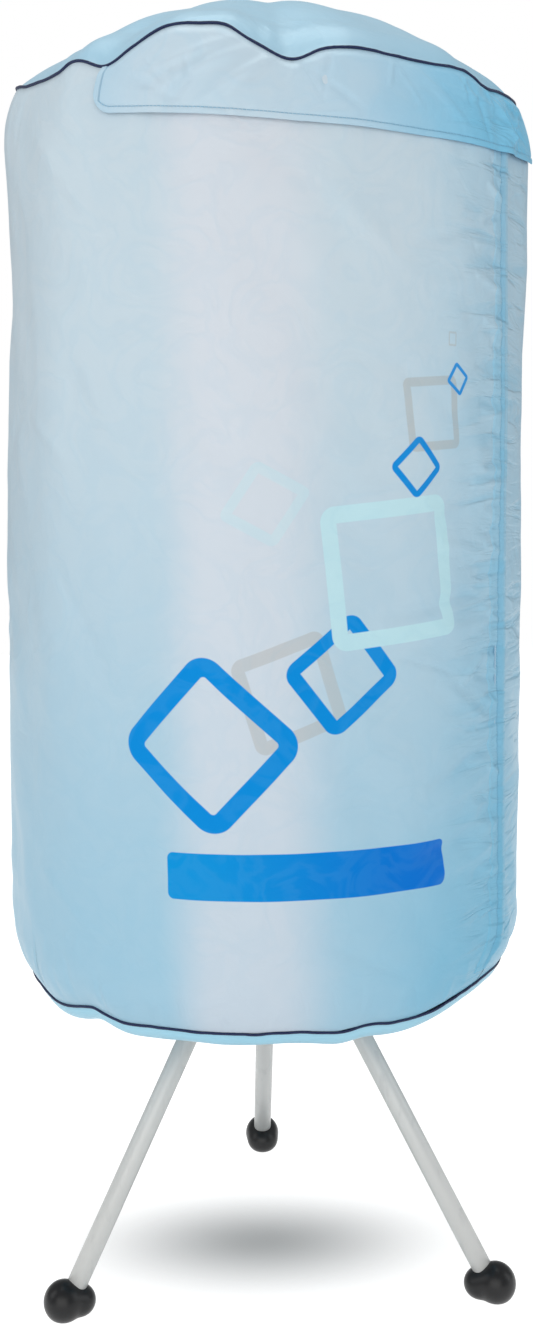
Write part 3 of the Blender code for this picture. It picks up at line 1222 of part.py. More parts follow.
def build_head(finishes):
    """The slotted head, the ring wire that the arms clip to, the cap that traps it, and the arms."""
    bottom = HINGE_HEIGHT - HEAD_BELOW_HINGE
    socket_low = bottom - HEAD_SOCKET_DEPTH
    bore = POLE_RADIUS + SEAT_GAP
    plastic = finishes["dark_plastic"]
    head = place("hanger_head", turned("hanger_head", [
        (0, HEAD_TOP), (HEAD_RADIUS, HEAD_TOP), (HEAD_RADIUS, bottom), (HEAD_SOCKET_RADIUS, bottom),
        (HEAD_SOCKET_RADIUS, socket_low), (bore, socket_low), (bore, HINGE_HEIGHT), (0, HINGE_HEIGHT),
    ], ROUND_STEPS, closed=False), plastic)
    slots = bmesh.new()
    half = ARM_WIDTH / 2 + SLOT_SIDE_GAP
    for azimuth in arm_azimuths():
        add_block(
            slots, (HEAD_CORE_RADIUS, -half, bottom - CUT_OVERRUN),
            (HEAD_RADIUS + CUT_OVERRUN, half, HEAD_TOP + CUT_OVERRUN / 10), azimuth - 90,
        )
    slot_cutter = helper("arm_slots", finished("arm_slots", slots))
    cut(head, slot_cutter)
    groove = WIRE_RADIUS + WIRE_GAP
    low = HINGE_HEIGHT - groove
    high = HEAD_TOP + CUT_OVERRUN
    groove_mesh = turned("wire_groove", [
        (ARM_HINGE_RADIUS - groove, low), (ARM_HINGE_RADIUS + groove, low),
        (ARM_HINGE_RADIUS + groove, high), (ARM_HINGE_RADIUS - groove, high),
    ], ROUND_STEPS)
    cut(head, helper("wire_groove", groove_mesh))

    wire = turned("hinge_wire", arc((ARM_HINGE_RADIUS, HINGE_HEIGHT), WIRE_RADIUS, 0, 300, 5), ROUND_STEPS)
    wire_turn = Euler((0, 0, math.radians(FIRST_ARM_AZIMUTH - 90)))
    place("hinge_wire", wire, finishes["steel"], rotation=wire_turn)

    under = HEAD_TOP + SEAT_GAP
    cap_apex = crown_height(0) - CLOTH_THICKNESS - SEAT_GAP
    first_ring = TOP_SEAM_RADIUS * CROWN_FIRST_SHARE
    slope = (crown_height(0) - crown_height(first_ring)) / first_ring
    cap_edge = HEAD_RADIUS - CAP_EDGE
    crown = [
        (HEAD_RADIUS, cap_apex - slope * HEAD_RADIUS - CAP_EDGE), (cap_edge, cap_apex - slope * cap_edge),
        (0, cap_apex),
    ]
    rib_low = HINGE_HEIGHT + groove
    rib_inner, rib_outer = ARM_HINGE_RADIUS - RIB_HALF_WIDTH, ARM_HINGE_RADIUS + RIB_HALF_WIDTH
    cap = place("head_cap", turned("head_cap", [
        (0, under), (rib_inner, under), (rib_inner, rib_low), (rib_outer, rib_low), (rib_outer, under),
        (HEAD_RADIUS, under), *crown,
    ], ROUND_STEPS, closed=False), plastic)
    rib_slots = bmesh.new()
    for azimuth in arm_azimuths():
        add_block(
            rib_slots, (HEAD_CORE_RADIUS, -half, rib_low - CUT_OVERRUN),
            (HEAD_RADIUS + CUT_OVERRUN, half, under), azimuth - 90,
        )
    cut(cap, helper("rib_slots", finished("rib_slots", rib_slots)))

    arm = arm_mesh()
    for number, azimuth in enumerate(arm_azimuths(), start=1):
        hinge_point = at(azimuth, ARM_HINGE_RADIUS, HINGE_HEIGHT)
        hinge = pivot("arm_pivot_%02d" % number, hinge_point, facing(azimuth))
        place("hanging_arm_%02d" % number, arm, finishes["arm_plastic"], parent=hinge)


def arm_azimuths():
    """Where the arms point."""
    return [FIRST_ARM_AZIMUTH + 360 * index / ARM_COUNT for index in range(ARM_COUNT)]


def arm_mesh():
    """A hanging arm: a clip round the ring wire, a bar that follows the crown, and notches for hooks."""
    reach = ARM_TIP_RADIUS - ARM_HINGE_RADIUS
    root = CLIP_RADIUS * 2.4

    def top(x):
        clearance = mixed(ARM_ROOT_CLEARANCE, ARM_TIP_CLEARANCE, x / reach)
        return crown_height(ARM_HINGE_RADIUS + x) - CLOTH_THICKNESS - clearance - HINGE_HEIGHT

    def bottom(x):
        return top(x) - mixed(ARM_ROOT_HEIGHT, ARM_TIP_HEIGHT, x / reach)

    half_mouth = CLIP_MOUTH / 2
    outline = [
        *arc((0, 0), CLIP_BORE, 180 + half_mouth, 540 - half_mouth, 7),
        *arc((0, 0), CLIP_RADIUS, 180 - half_mouth, 90, 2), (root, top(root)),
    ]
    for share in NOTCH_SHARES:
        middle = reach * share
        outline += [
            (middle - NOTCH_WIDTH / 2, top(middle - NOTCH_WIDTH / 2)), (middle, top(middle) - NOTCH_DEPTH),
            (middle + NOTCH_WIDTH / 2, top(middle + NOTCH_WIDTH / 2)),
        ]
    tip_round = ARM_TIP_HEIGHT / 2
    tip_x = reach - tip_round
    outline += arc((tip_x, top(tip_x) - tip_round), tip_round, 80, -80, 3)
    outline += [(reach * share, bottom(reach * share)) for share in (0.8, 0.55, 0.3)]
    outline += [(root, bottom(root)), *arc((0, 0), CLIP_RADIUS, 270, 180 + half_mouth, 2)]
    return prism("hanging_arm", outline[::-1], -ARM_WIDTH / 2, ARM_WIDTH / 2, along_y)


def main():
    """Clears the scene and builds the dryer from the floor up."""
    for leftover in list(bpy.data.objects):
        bpy.data.objects.remove(leftover)
    finishes = {
        "cloth": finish("satin_cloth", (0.44, 0.63, 0.76), 0.55),
        "piping": finish("navy_piping", (0.02, 0.04, 0.16), 0.6),
        "elastic": finish("hem_elastic", (0.36, 0.52, 0.66), 0.8),
        "tape": finish("zip_tape", (0.40, 0.58, 0.70), 0.8),
        "zip_metal": finish("zip_slider", (0.62, 0.64, 0.66), 0.35, 1.0),
        "grey_steel": finish("painted_steel_tube", (0.42, 0.44, 0.46), 0.38, 0.6),
        "steel": finish("plated_steel", (0.58, 0.58, 0.60), 0.32, 1.0),
        "aluminium": finish("heater_fins", (0.72, 0.73, 0.75), 0.4, 1.0),
        "rubber": finish("black_rubber", (0.018, 0.018, 0.020), 0.75),
        "dark_plastic": finish("dark_plastic", (0.06, 0.065, 0.07), 0.5),
        "white_plastic": finish("white_plastic", (0.80, 0.81, 0.82), 0.42),
        "arm_plastic": finish("arm_plastic", (0.30, 0.52, 0.68), 0.45),
    }
    build_tripod(finishes)
    build_heater(finishes)
    build_pole(finishes)
    build_head(finishes)
    build_cover(finishes)
    build_door(finishes)


main()
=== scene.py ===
"""Looks of a portable clothes dryer: a round zipped cloth cover over a heater on three legs."""

import json
import logging
import math
from dataclasses import dataclass
from enum import Enum
from typing import Optional, Sequence, Union

import bmesh
import bpy
import numpy as np
from mathutils import Matrix, Vector

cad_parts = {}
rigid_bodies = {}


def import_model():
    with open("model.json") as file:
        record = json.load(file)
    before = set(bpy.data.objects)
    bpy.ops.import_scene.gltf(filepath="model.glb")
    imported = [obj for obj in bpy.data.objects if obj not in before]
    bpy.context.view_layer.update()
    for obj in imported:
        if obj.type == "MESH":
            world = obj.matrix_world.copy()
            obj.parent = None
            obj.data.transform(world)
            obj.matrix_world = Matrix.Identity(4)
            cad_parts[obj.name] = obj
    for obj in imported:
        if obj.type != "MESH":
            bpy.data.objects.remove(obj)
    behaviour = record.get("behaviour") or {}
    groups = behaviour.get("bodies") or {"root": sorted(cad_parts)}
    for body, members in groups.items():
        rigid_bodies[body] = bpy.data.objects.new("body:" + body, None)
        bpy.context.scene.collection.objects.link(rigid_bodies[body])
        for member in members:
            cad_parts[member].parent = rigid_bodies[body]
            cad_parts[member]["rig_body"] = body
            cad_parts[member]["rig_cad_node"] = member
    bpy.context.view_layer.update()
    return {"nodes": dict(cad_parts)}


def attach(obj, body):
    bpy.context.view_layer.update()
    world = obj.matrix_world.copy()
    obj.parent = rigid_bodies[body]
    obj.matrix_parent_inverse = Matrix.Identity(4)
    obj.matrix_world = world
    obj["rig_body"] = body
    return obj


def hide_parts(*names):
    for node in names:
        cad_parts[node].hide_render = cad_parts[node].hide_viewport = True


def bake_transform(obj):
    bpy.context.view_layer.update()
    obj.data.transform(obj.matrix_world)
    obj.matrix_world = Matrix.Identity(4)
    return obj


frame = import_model()

LOG = logging.getLogger("clothes_dryer")
Array = np.ndarray
Colour = tuple[float, float, float]
Pair = tuple[float, float]
TURN = 360.0
HALF_TURN = TURN / 2
START_OBJECTS = ("Cube", "Light", "Camera")
ARM_COUNT = 12
FIRST_ARM = 19
LEG_PLACES = (("front_right", 63.1, 0.0090), ("front_left", -56.9, 0.0090), ("rear", 183.1, 0.0045))
COVER_MIDDLE = (0, 0, 0.85)
COVER_TOP_MIDDLE = (0, 0, 1.2)
HASH_WEIGHTS = (127.1, 311.7, 74.7)
HASH_SEED = 19.19
HASH_WAVE = 43758.5453
TINY = 1e-12
WELD_DISTANCE = 1e-6
MERGE_DISTANCE = 2e-6
FLAT_ANGLE = math.radians(0.5)
SMOOTH_ANGLE = math.radians(32)
BEVEL_ANGLE = math.radians(35)
BEVEL_SEGMENTS = 2
SIGNS = (-1.0, 1.0)


class Body(Enum):
    """The moving bodies that the cloth and the zip ride on."""

    STAND = "stand"
    DOOR = "door"


class Hold(Enum):
    """How a sheet of cloth is held."""

    HUNG = "hung"
    STRETCHED = "stretched"
    GATHERED = "gathered"


# Helpers on arrays of numbers.


def outward(azimuth: Array) -> Array:
    """Unit vectors that point away from the pole; azimuth 0 is the front, in degrees."""
    turn = np.radians(azimuth)
    return np.stack([np.sin(turn), -np.cos(turn), np.zeros_like(turn)], axis=-1)


def around(azimuth: Array, radius: Array, height: Array) -> Array:
    """Points round the pole.

    Args:
        azimuth: Angle from the front, in degrees.
        radius: Distance from the pole.
        height: Height over the floor.

    Returns:
        The points, with x, y and z last.
    """
    azimuth, radius, height = np.broadcast_arrays(azimuth, radius, height)
    points = outward(azimuth) * radius[..., None]
    points[..., 2] = height
    return points


def wrapped(angle: Array) -> Array:
    """The angle brought to between -180 and 180 degrees."""
    return (angle + HALF_TURN) % TURN - HALF_TURN


def eased(share: Array) -> Array:
    """Smooth step: 3 s squared minus 2 s cubed, with s kept between 0 and 1."""
    share = np.clip(share, 0, 1)
    return share * share * (3 - 2 * share)


def bell(distance: Array, width: float) -> Array:
    """Bell curve: e to the minus (distance / width) squared."""
    return np.exp(-((distance / width) ** 2))


def beside(azimuth: Array, place: Array, width: float) -> Array:
    """Bell curve of the angle from a place, both in degrees."""
    return bell(wrapped(azimuth - place), width)


def wave(azimuth: Array, count: float, shift: Union[float, Array] = 0.0) -> Array:
    """Sine of so many waves round the pole, shifted by so many degrees."""
    return np.sin(np.radians(count * azimuth + shift))


def arm_wave(azimuth: Array) -> Array:
    """Cosine that is 1 over each of the arms and -1 between them."""
    return np.cos(np.radians(ARM_COUNT * (azimuth - FIRST_ARM)))


def noise(points: Array, size: float, seed: int) -> Array:
    """Smooth noise in space, from about -1 to 1.

    Each corner of a grid of cubes has the fraction left of a large sine of its weighted
    whole numbers. These values are blended with 6 t^5 - 15 t^4 + 10 t^3 along each axis.

    Args:
        points: Points, with x, y and z last.
        size: Edge of a cube, in metres.
        seed: Chooses another pattern.

    Returns:
        One value for each point.
    """
    scaled = points / size
    base = np.floor(scaled)
    part = scaled - base
    fade = part**3 * (part * (part * 6 - 15) + 10)
    total = np.zeros(points.shape[:-1])
    for corner in np.ndindex(2, 2, 2):
        offset = np.array(corner)
        weight = np.prod(np.where(offset == 1, fade, 1 - fade), axis=-1)
        cells = base + offset
        mixed = sum(cells[..., k] * HASH_WEIGHTS[k] for k in range(3)) + seed * HASH_SEED
        sine = np.sin(mixed) * HASH_WAVE
        total += weight * (2 * (sine - np.floor(sine)) - 1)
    return total


@dataclass(frozen=True)
class Rise:
    """A soft bump along a seam: a place, a height and a half width in degrees."""

    azimuth: float
    height: float
    width: float


def risen(azimuth: Array, rises: Sequence[Rise]) -> Array:
    """Sum of bell curves round the pole: height times e to the minus (angle / width) squared."""
    start = np.zeros_like(np.asarray(azimuth, float))
    return sum((rise.height * beside(azimuth, rise.azimuth, rise.width) for rise in rises), start)


@dataclass(frozen=True)
class Crease:
    """A fold in cloth along a line, as places of azimuth in degrees and height in metres."""

    start: Pair
    end: Pair
    width: float
    depth: float

    def lift(self, azimuth: Array, height: Array, radius: float) -> Array:
        """How far the fold lifts the cloth.

        Depth times a bell curve of the distance from the line, fading to nothing at the
        line's ends as the 0.7th power of a sine.

        Args:
            azimuth: Azimuth of each point, in degrees.
            height: Height of each point.
            radius: Radius that turns degrees into lengths.

        Returns:
            The lift in metres.
        """
        scale = radius * math.pi / HALF_TURN
        across = wrapped(azimuth - self.start[0]) * scale
        up = height - self.start[1]
        line = np.array([(self.end[0] - self.start[0]) * scale, self.end[1] - self.start[1]])
        length = float(np.hypot(*line))
        along = (across * line[0] + up * line[1]) / length
        side = (across * line[1] - up * line[0]) / length
        inside = np.clip(along / length, 0, 1)
        over = along - inside * length
        fade = np.maximum(np.sin(math.pi * inside), 0) ** 0.7
        return self.depth * fade * bell(np.hypot(side, over), self.width)


def folded(azimuth: Array, height: Array, radius: float, creases: Sequence[Crease]) -> Array:
    """Sum of what the creases lift."""
    start = np.zeros(np.broadcast(azimuth, height).shape)
    return sum((crease.lift(azimuth, height, radius) for crease in creases), start)


# Meshes made of arrays.


def linked(name: str, data: bpy.types.ID) -> bpy.types.Object:
    """Makes an object of some data and puts it in the scene.

    Args:
        name: Name of the new object.
        data: Its mesh, lamp or camera.

    Returns:
        The new object.
    """
    made = bpy.data.objects.new(name, data)
    bpy.context.scene.collection.objects.link(made)
    return made


def grid_corners(rows: int, columns: int, wrap: bool) -> Array:
    """The corners of each cell of a grid.

    Args:
        rows: Number of rows of points.
        columns: Number of columns of points.
        wrap: Whether the last column joins the first.

    Returns:
        Four pairs of row and column for each cell, where a wrapped column counts on.
    """
    across = columns if wrap else columns - 1
    row, column = np.meshgrid(np.arange(rows - 1), np.arange(across), indexing="ij")
    corners = ((row, column), (row, column + 1), (row + 1, column + 1), (row + 1, column))
    return np.stack([np.stack(corner, -1) for corner in corners], axis=-2).reshape(-1, 4, 2)


def surface(
    name: str,
    points: Array,
    wrap: bool = False,
    poles: tuple[bool, bool] = (False, False),
    maps: Optional[dict[str, Array]] = None,
    inside: Optional[Sequence[float]] = None,
    normals: Optional[Array] = None,
) -> bpy.types.Object:
    """Makes a mesh of a grid of points.

    Args:
        name: Name of the new object.
        points: Grid of points, rows by columns by 3.
        wrap: Whether the last column joins the first.
        poles: Whether the first and the last row are one point each.
        maps: UV maps by name, rows by columns by 2, with one more column where it wraps.
        inside: A point that the faces look away from; the mean of the points if None.
        normals: Normals for smooth shading, where neighbouring pieces have to match.

    Returns:
        The new object, with its place in its mesh.
    """
    rows, columns = points.shape[:2]
    corners = grid_corners(rows, columns, wrap)
    index = np.arange(rows * columns).reshape(rows, columns)
    for row, is_pole in zip((0, -1), poles):
        if is_pole:
            index[row] = index[row, 0]
    vertex = index[corners[..., 0], corners[..., 1] % columns]
    flat = points.reshape(-1, 3)
    centre = flat.mean(0) if inside is None else np.asarray(inside, float)
    a, b, c, d = (flat[vertex[:, k]] - centre for k in range(4))
    volume = np.einsum("ij,ij->", a, np.cross(b, c)) + np.einsum("ij,ij->", a, np.cross(c, d))
    if volume < 0:
        vertex, corners = vertex[:, ::-1], corners[:, ::-1]
    keep = vertex != np.roll(vertex, 1, axis=1)
    used, packed = np.unique(vertex[keep], return_inverse=True)
    sizes = keep.sum(1)
    mesh = bpy.data.meshes.new(name)
    mesh.vertices.add(len(used))
    mesh.vertices.foreach_set("co", flat[used].astype(np.float32).ravel())
    mesh.loops.add(len(packed))
    mesh.loops.foreach_set("vertex_index", packed.astype(np.int32).ravel())
    mesh.polygons.add(len(sizes))
    starts = np.concatenate([[0], np.cumsum(sizes)[:-1]])
    mesh.polygons.foreach_set("loop_start", starts.astype(np.int32))
    mesh.polygons.foreach_set("use_smooth", np.ones(len(sizes), bool))
    mesh.update(calc_edges=True)
    for label, values in (maps or {}).items():
        layer = mesh.uv_layers.new(name=label)
        chosen = values[corners[..., 0], corners[..., 1]][keep]
        layer.data.foreach_set("uv", chosen.astype(np.float32).ravel())
    if normals is not None:
        mesh.normals_split_custom_set_from_vertices(normals.reshape(-1, 3)[used].tolist())
    return linked(name, mesh)


def grid_normals(points: Array, centre: Sequence[float]) -> Array:
    """Unit normals of a grid, from the cross product of its two gradients.

    Args:
        points: Grid of points, rows by columns by 3.
        centre: A point that most of the normals look away from.

    Returns:
        One normal for each point.
    """
    normal = np.cross(np.gradient(points, axis=1), np.gradient(points, axis=0))
    normal /= np.maximum(np.linalg.norm(normal, axis=-1, keepdims=True), TINY)
    side = np.einsum("ijk,ijk->ij", normal, points - np.asarray(centre, float))
    return normal if np.median(side) > 0 else -normal


def travelled(path: Array) -> Array:
    """Length along a path up to each of its points."""
    return np.concatenate([[0], np.cumsum(np.linalg.norm(np.diff(path, axis=0), axis=1))])


def closed_cord(
    name: str, path: Array, normal: Array, radius: float, sides: int = 12
) -> bpy.types.Object:
    """Carries a round section along a path that ends where it starts.

    Each ring is centre + radius (cos t normal + sin t binormal), where the binormal is the
    cross product of the path's direction and the normal.

    Args:
        name: Name of the new object.
        path: Points of the centre line.
        normal: A direction away from the path at each point.
        radius: Radius of the section.
        sides: Number of points round the section.

    Returns:
        The new object, with a UV map of the length along and the share round.
    """
    along = np.roll(path, -1, axis=0) - np.roll(path, 1, axis=0)
    along /= np.linalg.norm(along, axis=1, keepdims=True)
    normal = normal - along * np.einsum("ij,ij->i", normal, along)[:, None]
    normal /= np.linalg.norm(normal, axis=1, keepdims=True)
    binormal = np.cross(along, normal)
    turn = np.linspace(0, 2 * math.pi, sides, endpoint=False)[None, :, None]
    ring = np.cos(turn) * normal[:, None] + np.sin(turn) * binormal[:, None]
    points = path[:, None] + radius * ring
    points = np.concatenate([points, points[:1]])
    travel = travelled(np.concatenate([path, path[:1]]))
    uv = np.stack(np.broadcast_arrays(travel[:, None], np.linspace(0, 1, sides + 1)), -1)
    made = surface(name, points, wrap=True, maps={"along": uv})
    weld_ends(made)
    return made


def weld_ends(made: bpy.types.Object) -> None:
    """Welds the doubled ring where a shape ends on its start, and turns its faces out.

    Args:
        made: The piece.
    """
    shape = bmesh.new()
    shape.from_mesh(made.data)
    bmesh.ops.remove_doubles(shape, verts=shape.verts, dist=WELD_DISTANCE)
    bmesh.ops.recalc_face_normals(shape, faces=shape.faces)
    shape.to_mesh(made.data)
    shape.free()


def turned_ring(name: str, profile: Array, place: Matrix, sides: int) -> bpy.types.Object:
    """Turns a closed profile of (radius, height) about an axis.

    Args:
        name: Name of the new object.
        profile: Points of (radius, height), off the axis; the last is the first again.
        place: Where the axis' foot stands and how it is turned.
        sides: Number of steps round the axis.

    Returns:
        The new object, with its place in its mesh.
    """
    turn = np.linspace(0, 2 * math.pi, sides, endpoint=False)
    radius, height = profile[:, :1], profile[:, 1:]
    points = np.stack(
        np.broadcast_arrays(radius * np.cos(turn), radius * np.sin(turn), height), axis=-1
    )
    share = np.linspace(0, 1, sides + 1)
    uv = np.stack(np.broadcast_arrays(share, travelled(profile)[:, None]), -1)
    made = surface(name, points, wrap=True, maps={"around": uv})
    made.data.transform(place)
    weld_ends(made)
    return made


def repeated(
    name: str, shape: Array, faces: Array, centres: Array, frames: Array
) -> bpy.types.Object:
    """Sets copies of one small shape at many places.

    Args:
        name: Name of the new object.
        shape: Points of the small shape.
        faces: Its faces, each with the same number of corners.
        centres: Where each copy stands.
        frames: For each copy, the three directions of its x, y and z.

    Returns:
        The new object.
    """
    points = centres[:, None] + np.einsum("vk,nkj->nvj", shape, frames)
    index = faces[None] + (np.arange(len(centres)) * len(shape))[:, None, None]
    mesh = bpy.data.meshes.new(name)
    rows = index.reshape(-1, faces.shape[1])
    mesh.from_pydata(points.reshape(-1, 3).tolist(), [], rows.tolist())
    mesh.update()
    return linked(name, mesh)


def chamfered_block(size: Sequence[float], cut: float) -> tuple[Array, Array]:
    """An eight-sided block along z with cut corners and closed ends.

    Args:
        size: Its size along x, y and z.
        cut: How much each corner loses along x and y.

    Returns:
        Its points and its four-cornered faces.
    """
    x, y, z = (s / 2 for s in size)
    half = [[x - cut, -y], [x, cut - y], [x, y - cut], [x - cut, y]]
    ring = np.array(half + [[-a, -b] for a, b in half])
    low, high = (np.column_stack([ring, np.full(8, level)]) for level in (-z, z))
    step = np.arange(8)
    sides = np.stack([step, (step + 1) % 8, (step + 1) % 8 + 8, step + 8], -1)
    lid = np.array([[0, 1, 2, 3], [0, 3, 4, 7], [4, 5, 6, 7]])
    return np.concatenate([low, high]), np.concatenate([sides, lid[:, ::-1], lid + 8])


def thicken(made: bpy.types.Object, name: str, thickness: float) -> None:
    """Gives a sheet its thickness, inwards.

    Args:
        made: The sheet.
        name: Name of the modifier.
        thickness: How thick it is.
    """
    solid = made.modifiers.new(name, "SOLIDIFY")
    solid.thickness = thickness
    solid.offset = -1


def settle(
    made: bpy.types.Object,
    finish: bpy.types.Material,
    body: str,
    slot: str,
    node: Optional[str] = None,
) -> None:
    """Gives a piece its finish and its body, and hides the CAD node that it replaces.

    Args:
        made: The piece.
        finish: Its material.
        body: The body that it rides on.
        slot: Not used.
        node: The CAD node, if it replaces one.
    """
    made.data.materials.append(finish)
    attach(made, body)
    if node is not None:
        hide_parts(node)


# Shader building.


class Value:
    """A socket of a node tree that takes part in sums like a number."""

    def __init__(self, graph: "Nodes", socket: bpy.types.NodeSocket) -> None:
        """Keeps the socket and the graph that it belongs to."""
        self.graph = graph
        self.socket = socket

    def _math(self, operation: str, *operands: Union["Value", float]) -> "Value":
        """One Math node on these operands."""
        inputs = dict(enumerate(operands))
        return self.graph.node("ShaderNodeMath", {"operation": operation}, inputs)

    def __add__(self, other: Union["Value", float]) -> "Value":
        """self + other"""
        return self._math("ADD", self, other)

    def __radd__(self, other: float) -> "Value":
        """other + self"""
        return self._math("ADD", other, self)

    def __sub__(self, other: Union["Value", float]) -> "Value":
        """self - other"""
        return self._math("SUBTRACT", self, other)

    def __rsub__(self, other: float) -> "Value":
        """other - self"""
        return self._math("SUBTRACT", other, self)

    def __mul__(self, other: Union["Value", float]) -> "Value":
        """self times other"""
        return self._math("MULTIPLY", self, other)

    def __rmul__(self, other: float) -> "Value":
        """other times self"""
        return self._math("MULTIPLY", other, self)

    def __pow__(self, other: float) -> "Value":
        """self to the power of other"""
        return self._math("POWER", self, other)

    def __abs__(self) -> "Value":
        """Its size without its sign."""
        return self._math("ABSOLUTE", self)

    def least(self, other: Union["Value", float]) -> "Value":
        """The smaller of the two."""
        return self._math("MINIMUM", self, other)

    def most(self, other: Union["Value", float]) -> "Value":
        """The larger of the two."""
        return self._math("MAXIMUM", self, other)

    def sine(self) -> "Value":
        """Its sine, in radians."""
        return self._math("SINE", self)

    def fraction(self) -> "Value":
        """What is left after the whole number."""
        return self._math("FRACT", self)

    def ramp(self, low: float, high: float, start: float = 0.0, end: float = 1.0) -> "Value":
        """A smooth step from start at low to end at high."""
        inputs = {0: self, 1: low, 2: high, 3: start, 4: end}
        return self.graph.node("ShaderNodeMapRange", {"interpolation_type": "SMOOTHSTEP"}, inputs)

    def drop(self, low: float, high: float) -> "Value":
        """A smooth step from 1 at low to 0 at high."""
        return self.ramp(low, high, 1.0, 0.0)


class Nodes:
    """An emptied node tree and the one method that adds nodes to it."""

    def __init__(self, owner: Union[bpy.types.Material, bpy.types.World]) -> None:
        """Empties the owner's node tree.

        Args:
            owner: The material or world.
        """
        owner.use_nodes = True
        self.tree = owner.node_tree
        self.tree.nodes.clear()

    def node(
        self,
        kind: str,
        settings: Optional[dict[str, object]] = None,
        inputs: Optional[dict[Union[int, str], object]] = None,
        output: Union[int, str, None] = 0,
    ) -> Optional[Value]:
        """Adds a node.

        Args:
            kind: Its type.
            settings: Its properties, which are set first.
            inputs: Values or links by socket number or identifier.
            output: Which output comes back, or None for a node without one.

        Returns:
            The chosen output.
        """
        made = self.tree.nodes.new(kind)
        for key, value in (settings or {}).items():
            setattr(made, key, value)
        for key, value in (inputs or {}).items():
            socket = self._named(made.inputs, key)
            if isinstance(value, Value):
                self.tree.links.new(value.socket, socket)
            elif socket.type == "RGBA" and len(value) == 3:
                socket.default_value = (*value, 1.0)
            else:
                socket.default_value = value
        return None if output is None else Value(self, self._named(made.outputs, output))

    @staticmethod
    def _named(
        sockets: bpy.types.bpy_prop_collection, key: Union[int, str]
    ) -> bpy.types.NodeSocket:
        """The socket of that identifier, or else of that number or name."""
        return next((s for s in sockets if s.identifier == key), None) or sockets[key]

    def seen(self) -> Value:
        """1 where the camera looks, straight or through a clear piece, and 0 where light falls."""
        straight = self.node("ShaderNodeLightPath", output="Is Camera Ray")
        return straight.most(self.node("ShaderNodeLightPath", output="Is Transmission Ray"))


class Graph(Nodes):
    """The node tree of one material, with a Principled shader as its surface."""

    def __init__(self, name: str, **constants: Union[float, Colour]) -> None:
        """Makes the material and sets what is the same all over it.

        Args:
            name: Name of the material.
            **constants: Values of the shader's own sockets, with _ for a space.
        """
        self.material = bpy.data.materials.new(name)
        super().__init__(self.material)
        sockets = {key.replace("_", " "): value for key, value in constants.items()}
        self.surface = self.node("ShaderNodeBsdfPrincipled", {}, sockets)
        self.node("ShaderNodeOutputMaterial", {}, {0: self.surface}, None)

    def show(self, shader: Value) -> None:
        """Sends another shader to the material's output."""
        output = next(node for node in self.tree.nodes if node.type == "OUTPUT_MATERIAL")
        self.tree.links.new(shader.socket, output.inputs[0])

    def mix(self, first: object, second: object, factor: Union[Value, float]) -> Value:
        """The first colour where the factor is 0, the second where it is 1."""
        inputs = {"Factor_Float": factor, "A_Color": first, "B_Color": second}
        return self.node("ShaderNodeMix", {"data_type": "RGBA"}, inputs, "Result_Color")

    def stretched(self, place: Value, scale: Sequence[float]) -> Value:
        """Coordinates times a scale along each axis."""
        return self.node("ShaderNodeMapping", {}, {"Vector": place, "Scale": tuple(scale)})

    def objects(self, scale: Sequence[float] = (1, 1, 1)) -> Value:
        """Object coordinates, stretched."""
        return self.stretched(self.node("ShaderNodeTexCoord", output="Object"), scale)

    def uv(self, name: str, scale: Sequence[float] = (1, 1, 1)) -> Value:
        """A UV map, stretched."""
        return self.stretched(self.node("ShaderNodeUVMap", {"uv_map": name}), scale)

    def split(self, vector: Value) -> tuple[Value, Value, Value]:
        """The x, y and z of a vector."""
        return tuple(self.node("ShaderNodeSeparateXYZ", {}, {0: vector}, k) for k in range(3))

    def noise(
        self, place: Value, scale: float, detail: float = 2.0, distortion: float = 0.0
    ) -> Value:
        """Soft noise from 0 to 1."""
        inputs = {"Vector": place, "Scale": scale, "Detail": detail, "Distortion": distortion}
        return self.node("ShaderNodeTexNoise", {}, inputs)

    def feed(self, socket: str, value: Value) -> None:
        """Feeds one of the shader's varying sockets."""
        self.tree.links.new(value.socket, self.surface.socket.node.inputs[socket])

    def finish(
        self, colour: Value, roughness: Value, height: Value, distance: float
    ) -> bpy.types.Material:
        """Feeds the colour, the roughness and a bump.

        Args:
            colour: Base colour.
            roughness: Roughness.
            height: Height of the surface, as a share of the distance.
            distance: How far it rises at most, in metres.

        Returns:
            The material.
        """
        self.feed("Base Color", colour)
        self.feed("Roughness", roughness)
        inputs = {"Strength": 1.0, "Distance": distance, "Height": height}
        self.feed("Normal", self.node("ShaderNodeBump", {}, inputs, "Normal"))
        return self.material


# Finishes.


@dataclass(frozen=True)
class PrintedSquare:
    """A square or diamond outline with round corners, printed on the cloth."""

    azimuth: float
    height: float
    first: Pair
    second: Pair
    stroke: float
    corner: float
    ink: Colour
    cover: float

    def mask(self, across: Value, up: Value, radius: float, soft: float = 0.0007) -> Value:
        """Where the ink lies.

        The place is written in shares of the two half edges. The distance from a rounded
        box is the length of what is over (1 - corner), plus the larger share where that is
        below it, minus the corner. The stroke lies within half its width of its middle.

        Args:
            across: Length round the cloth.
            up: Height on the cloth.
            radius: Radius that turns degrees into lengths.
            soft: Half width of the ink's soft edge.

        Returns:
            1 where there is ink, 0 where there is none.
        """
        (ax, ay), (bx, by) = self.first, self.second
        area = ax * by - ay * bx
        x = across - math.radians(self.azimuth) * radius
        y = up - self.height
        p = abs(x * (by / area) - y * (bx / area)) - (1 - self.corner)
        q = abs(y * (ax / area) - x * (ay / area)) - (1 - self.corner)
        over = (p.most(0.0) ** 2 + q.most(0.0) ** 2) ** 0.5
        edge = over + p.most(q).least(0.0) - self.corner
        size = abs(area) / (0.5 * (math.hypot(ax, ay) + math.hypot(bx, by)))
        middle = abs(edge * size + self.stroke / 2)
        return middle.drop(self.stroke / 2 - soft, self.stroke / 2 + soft)


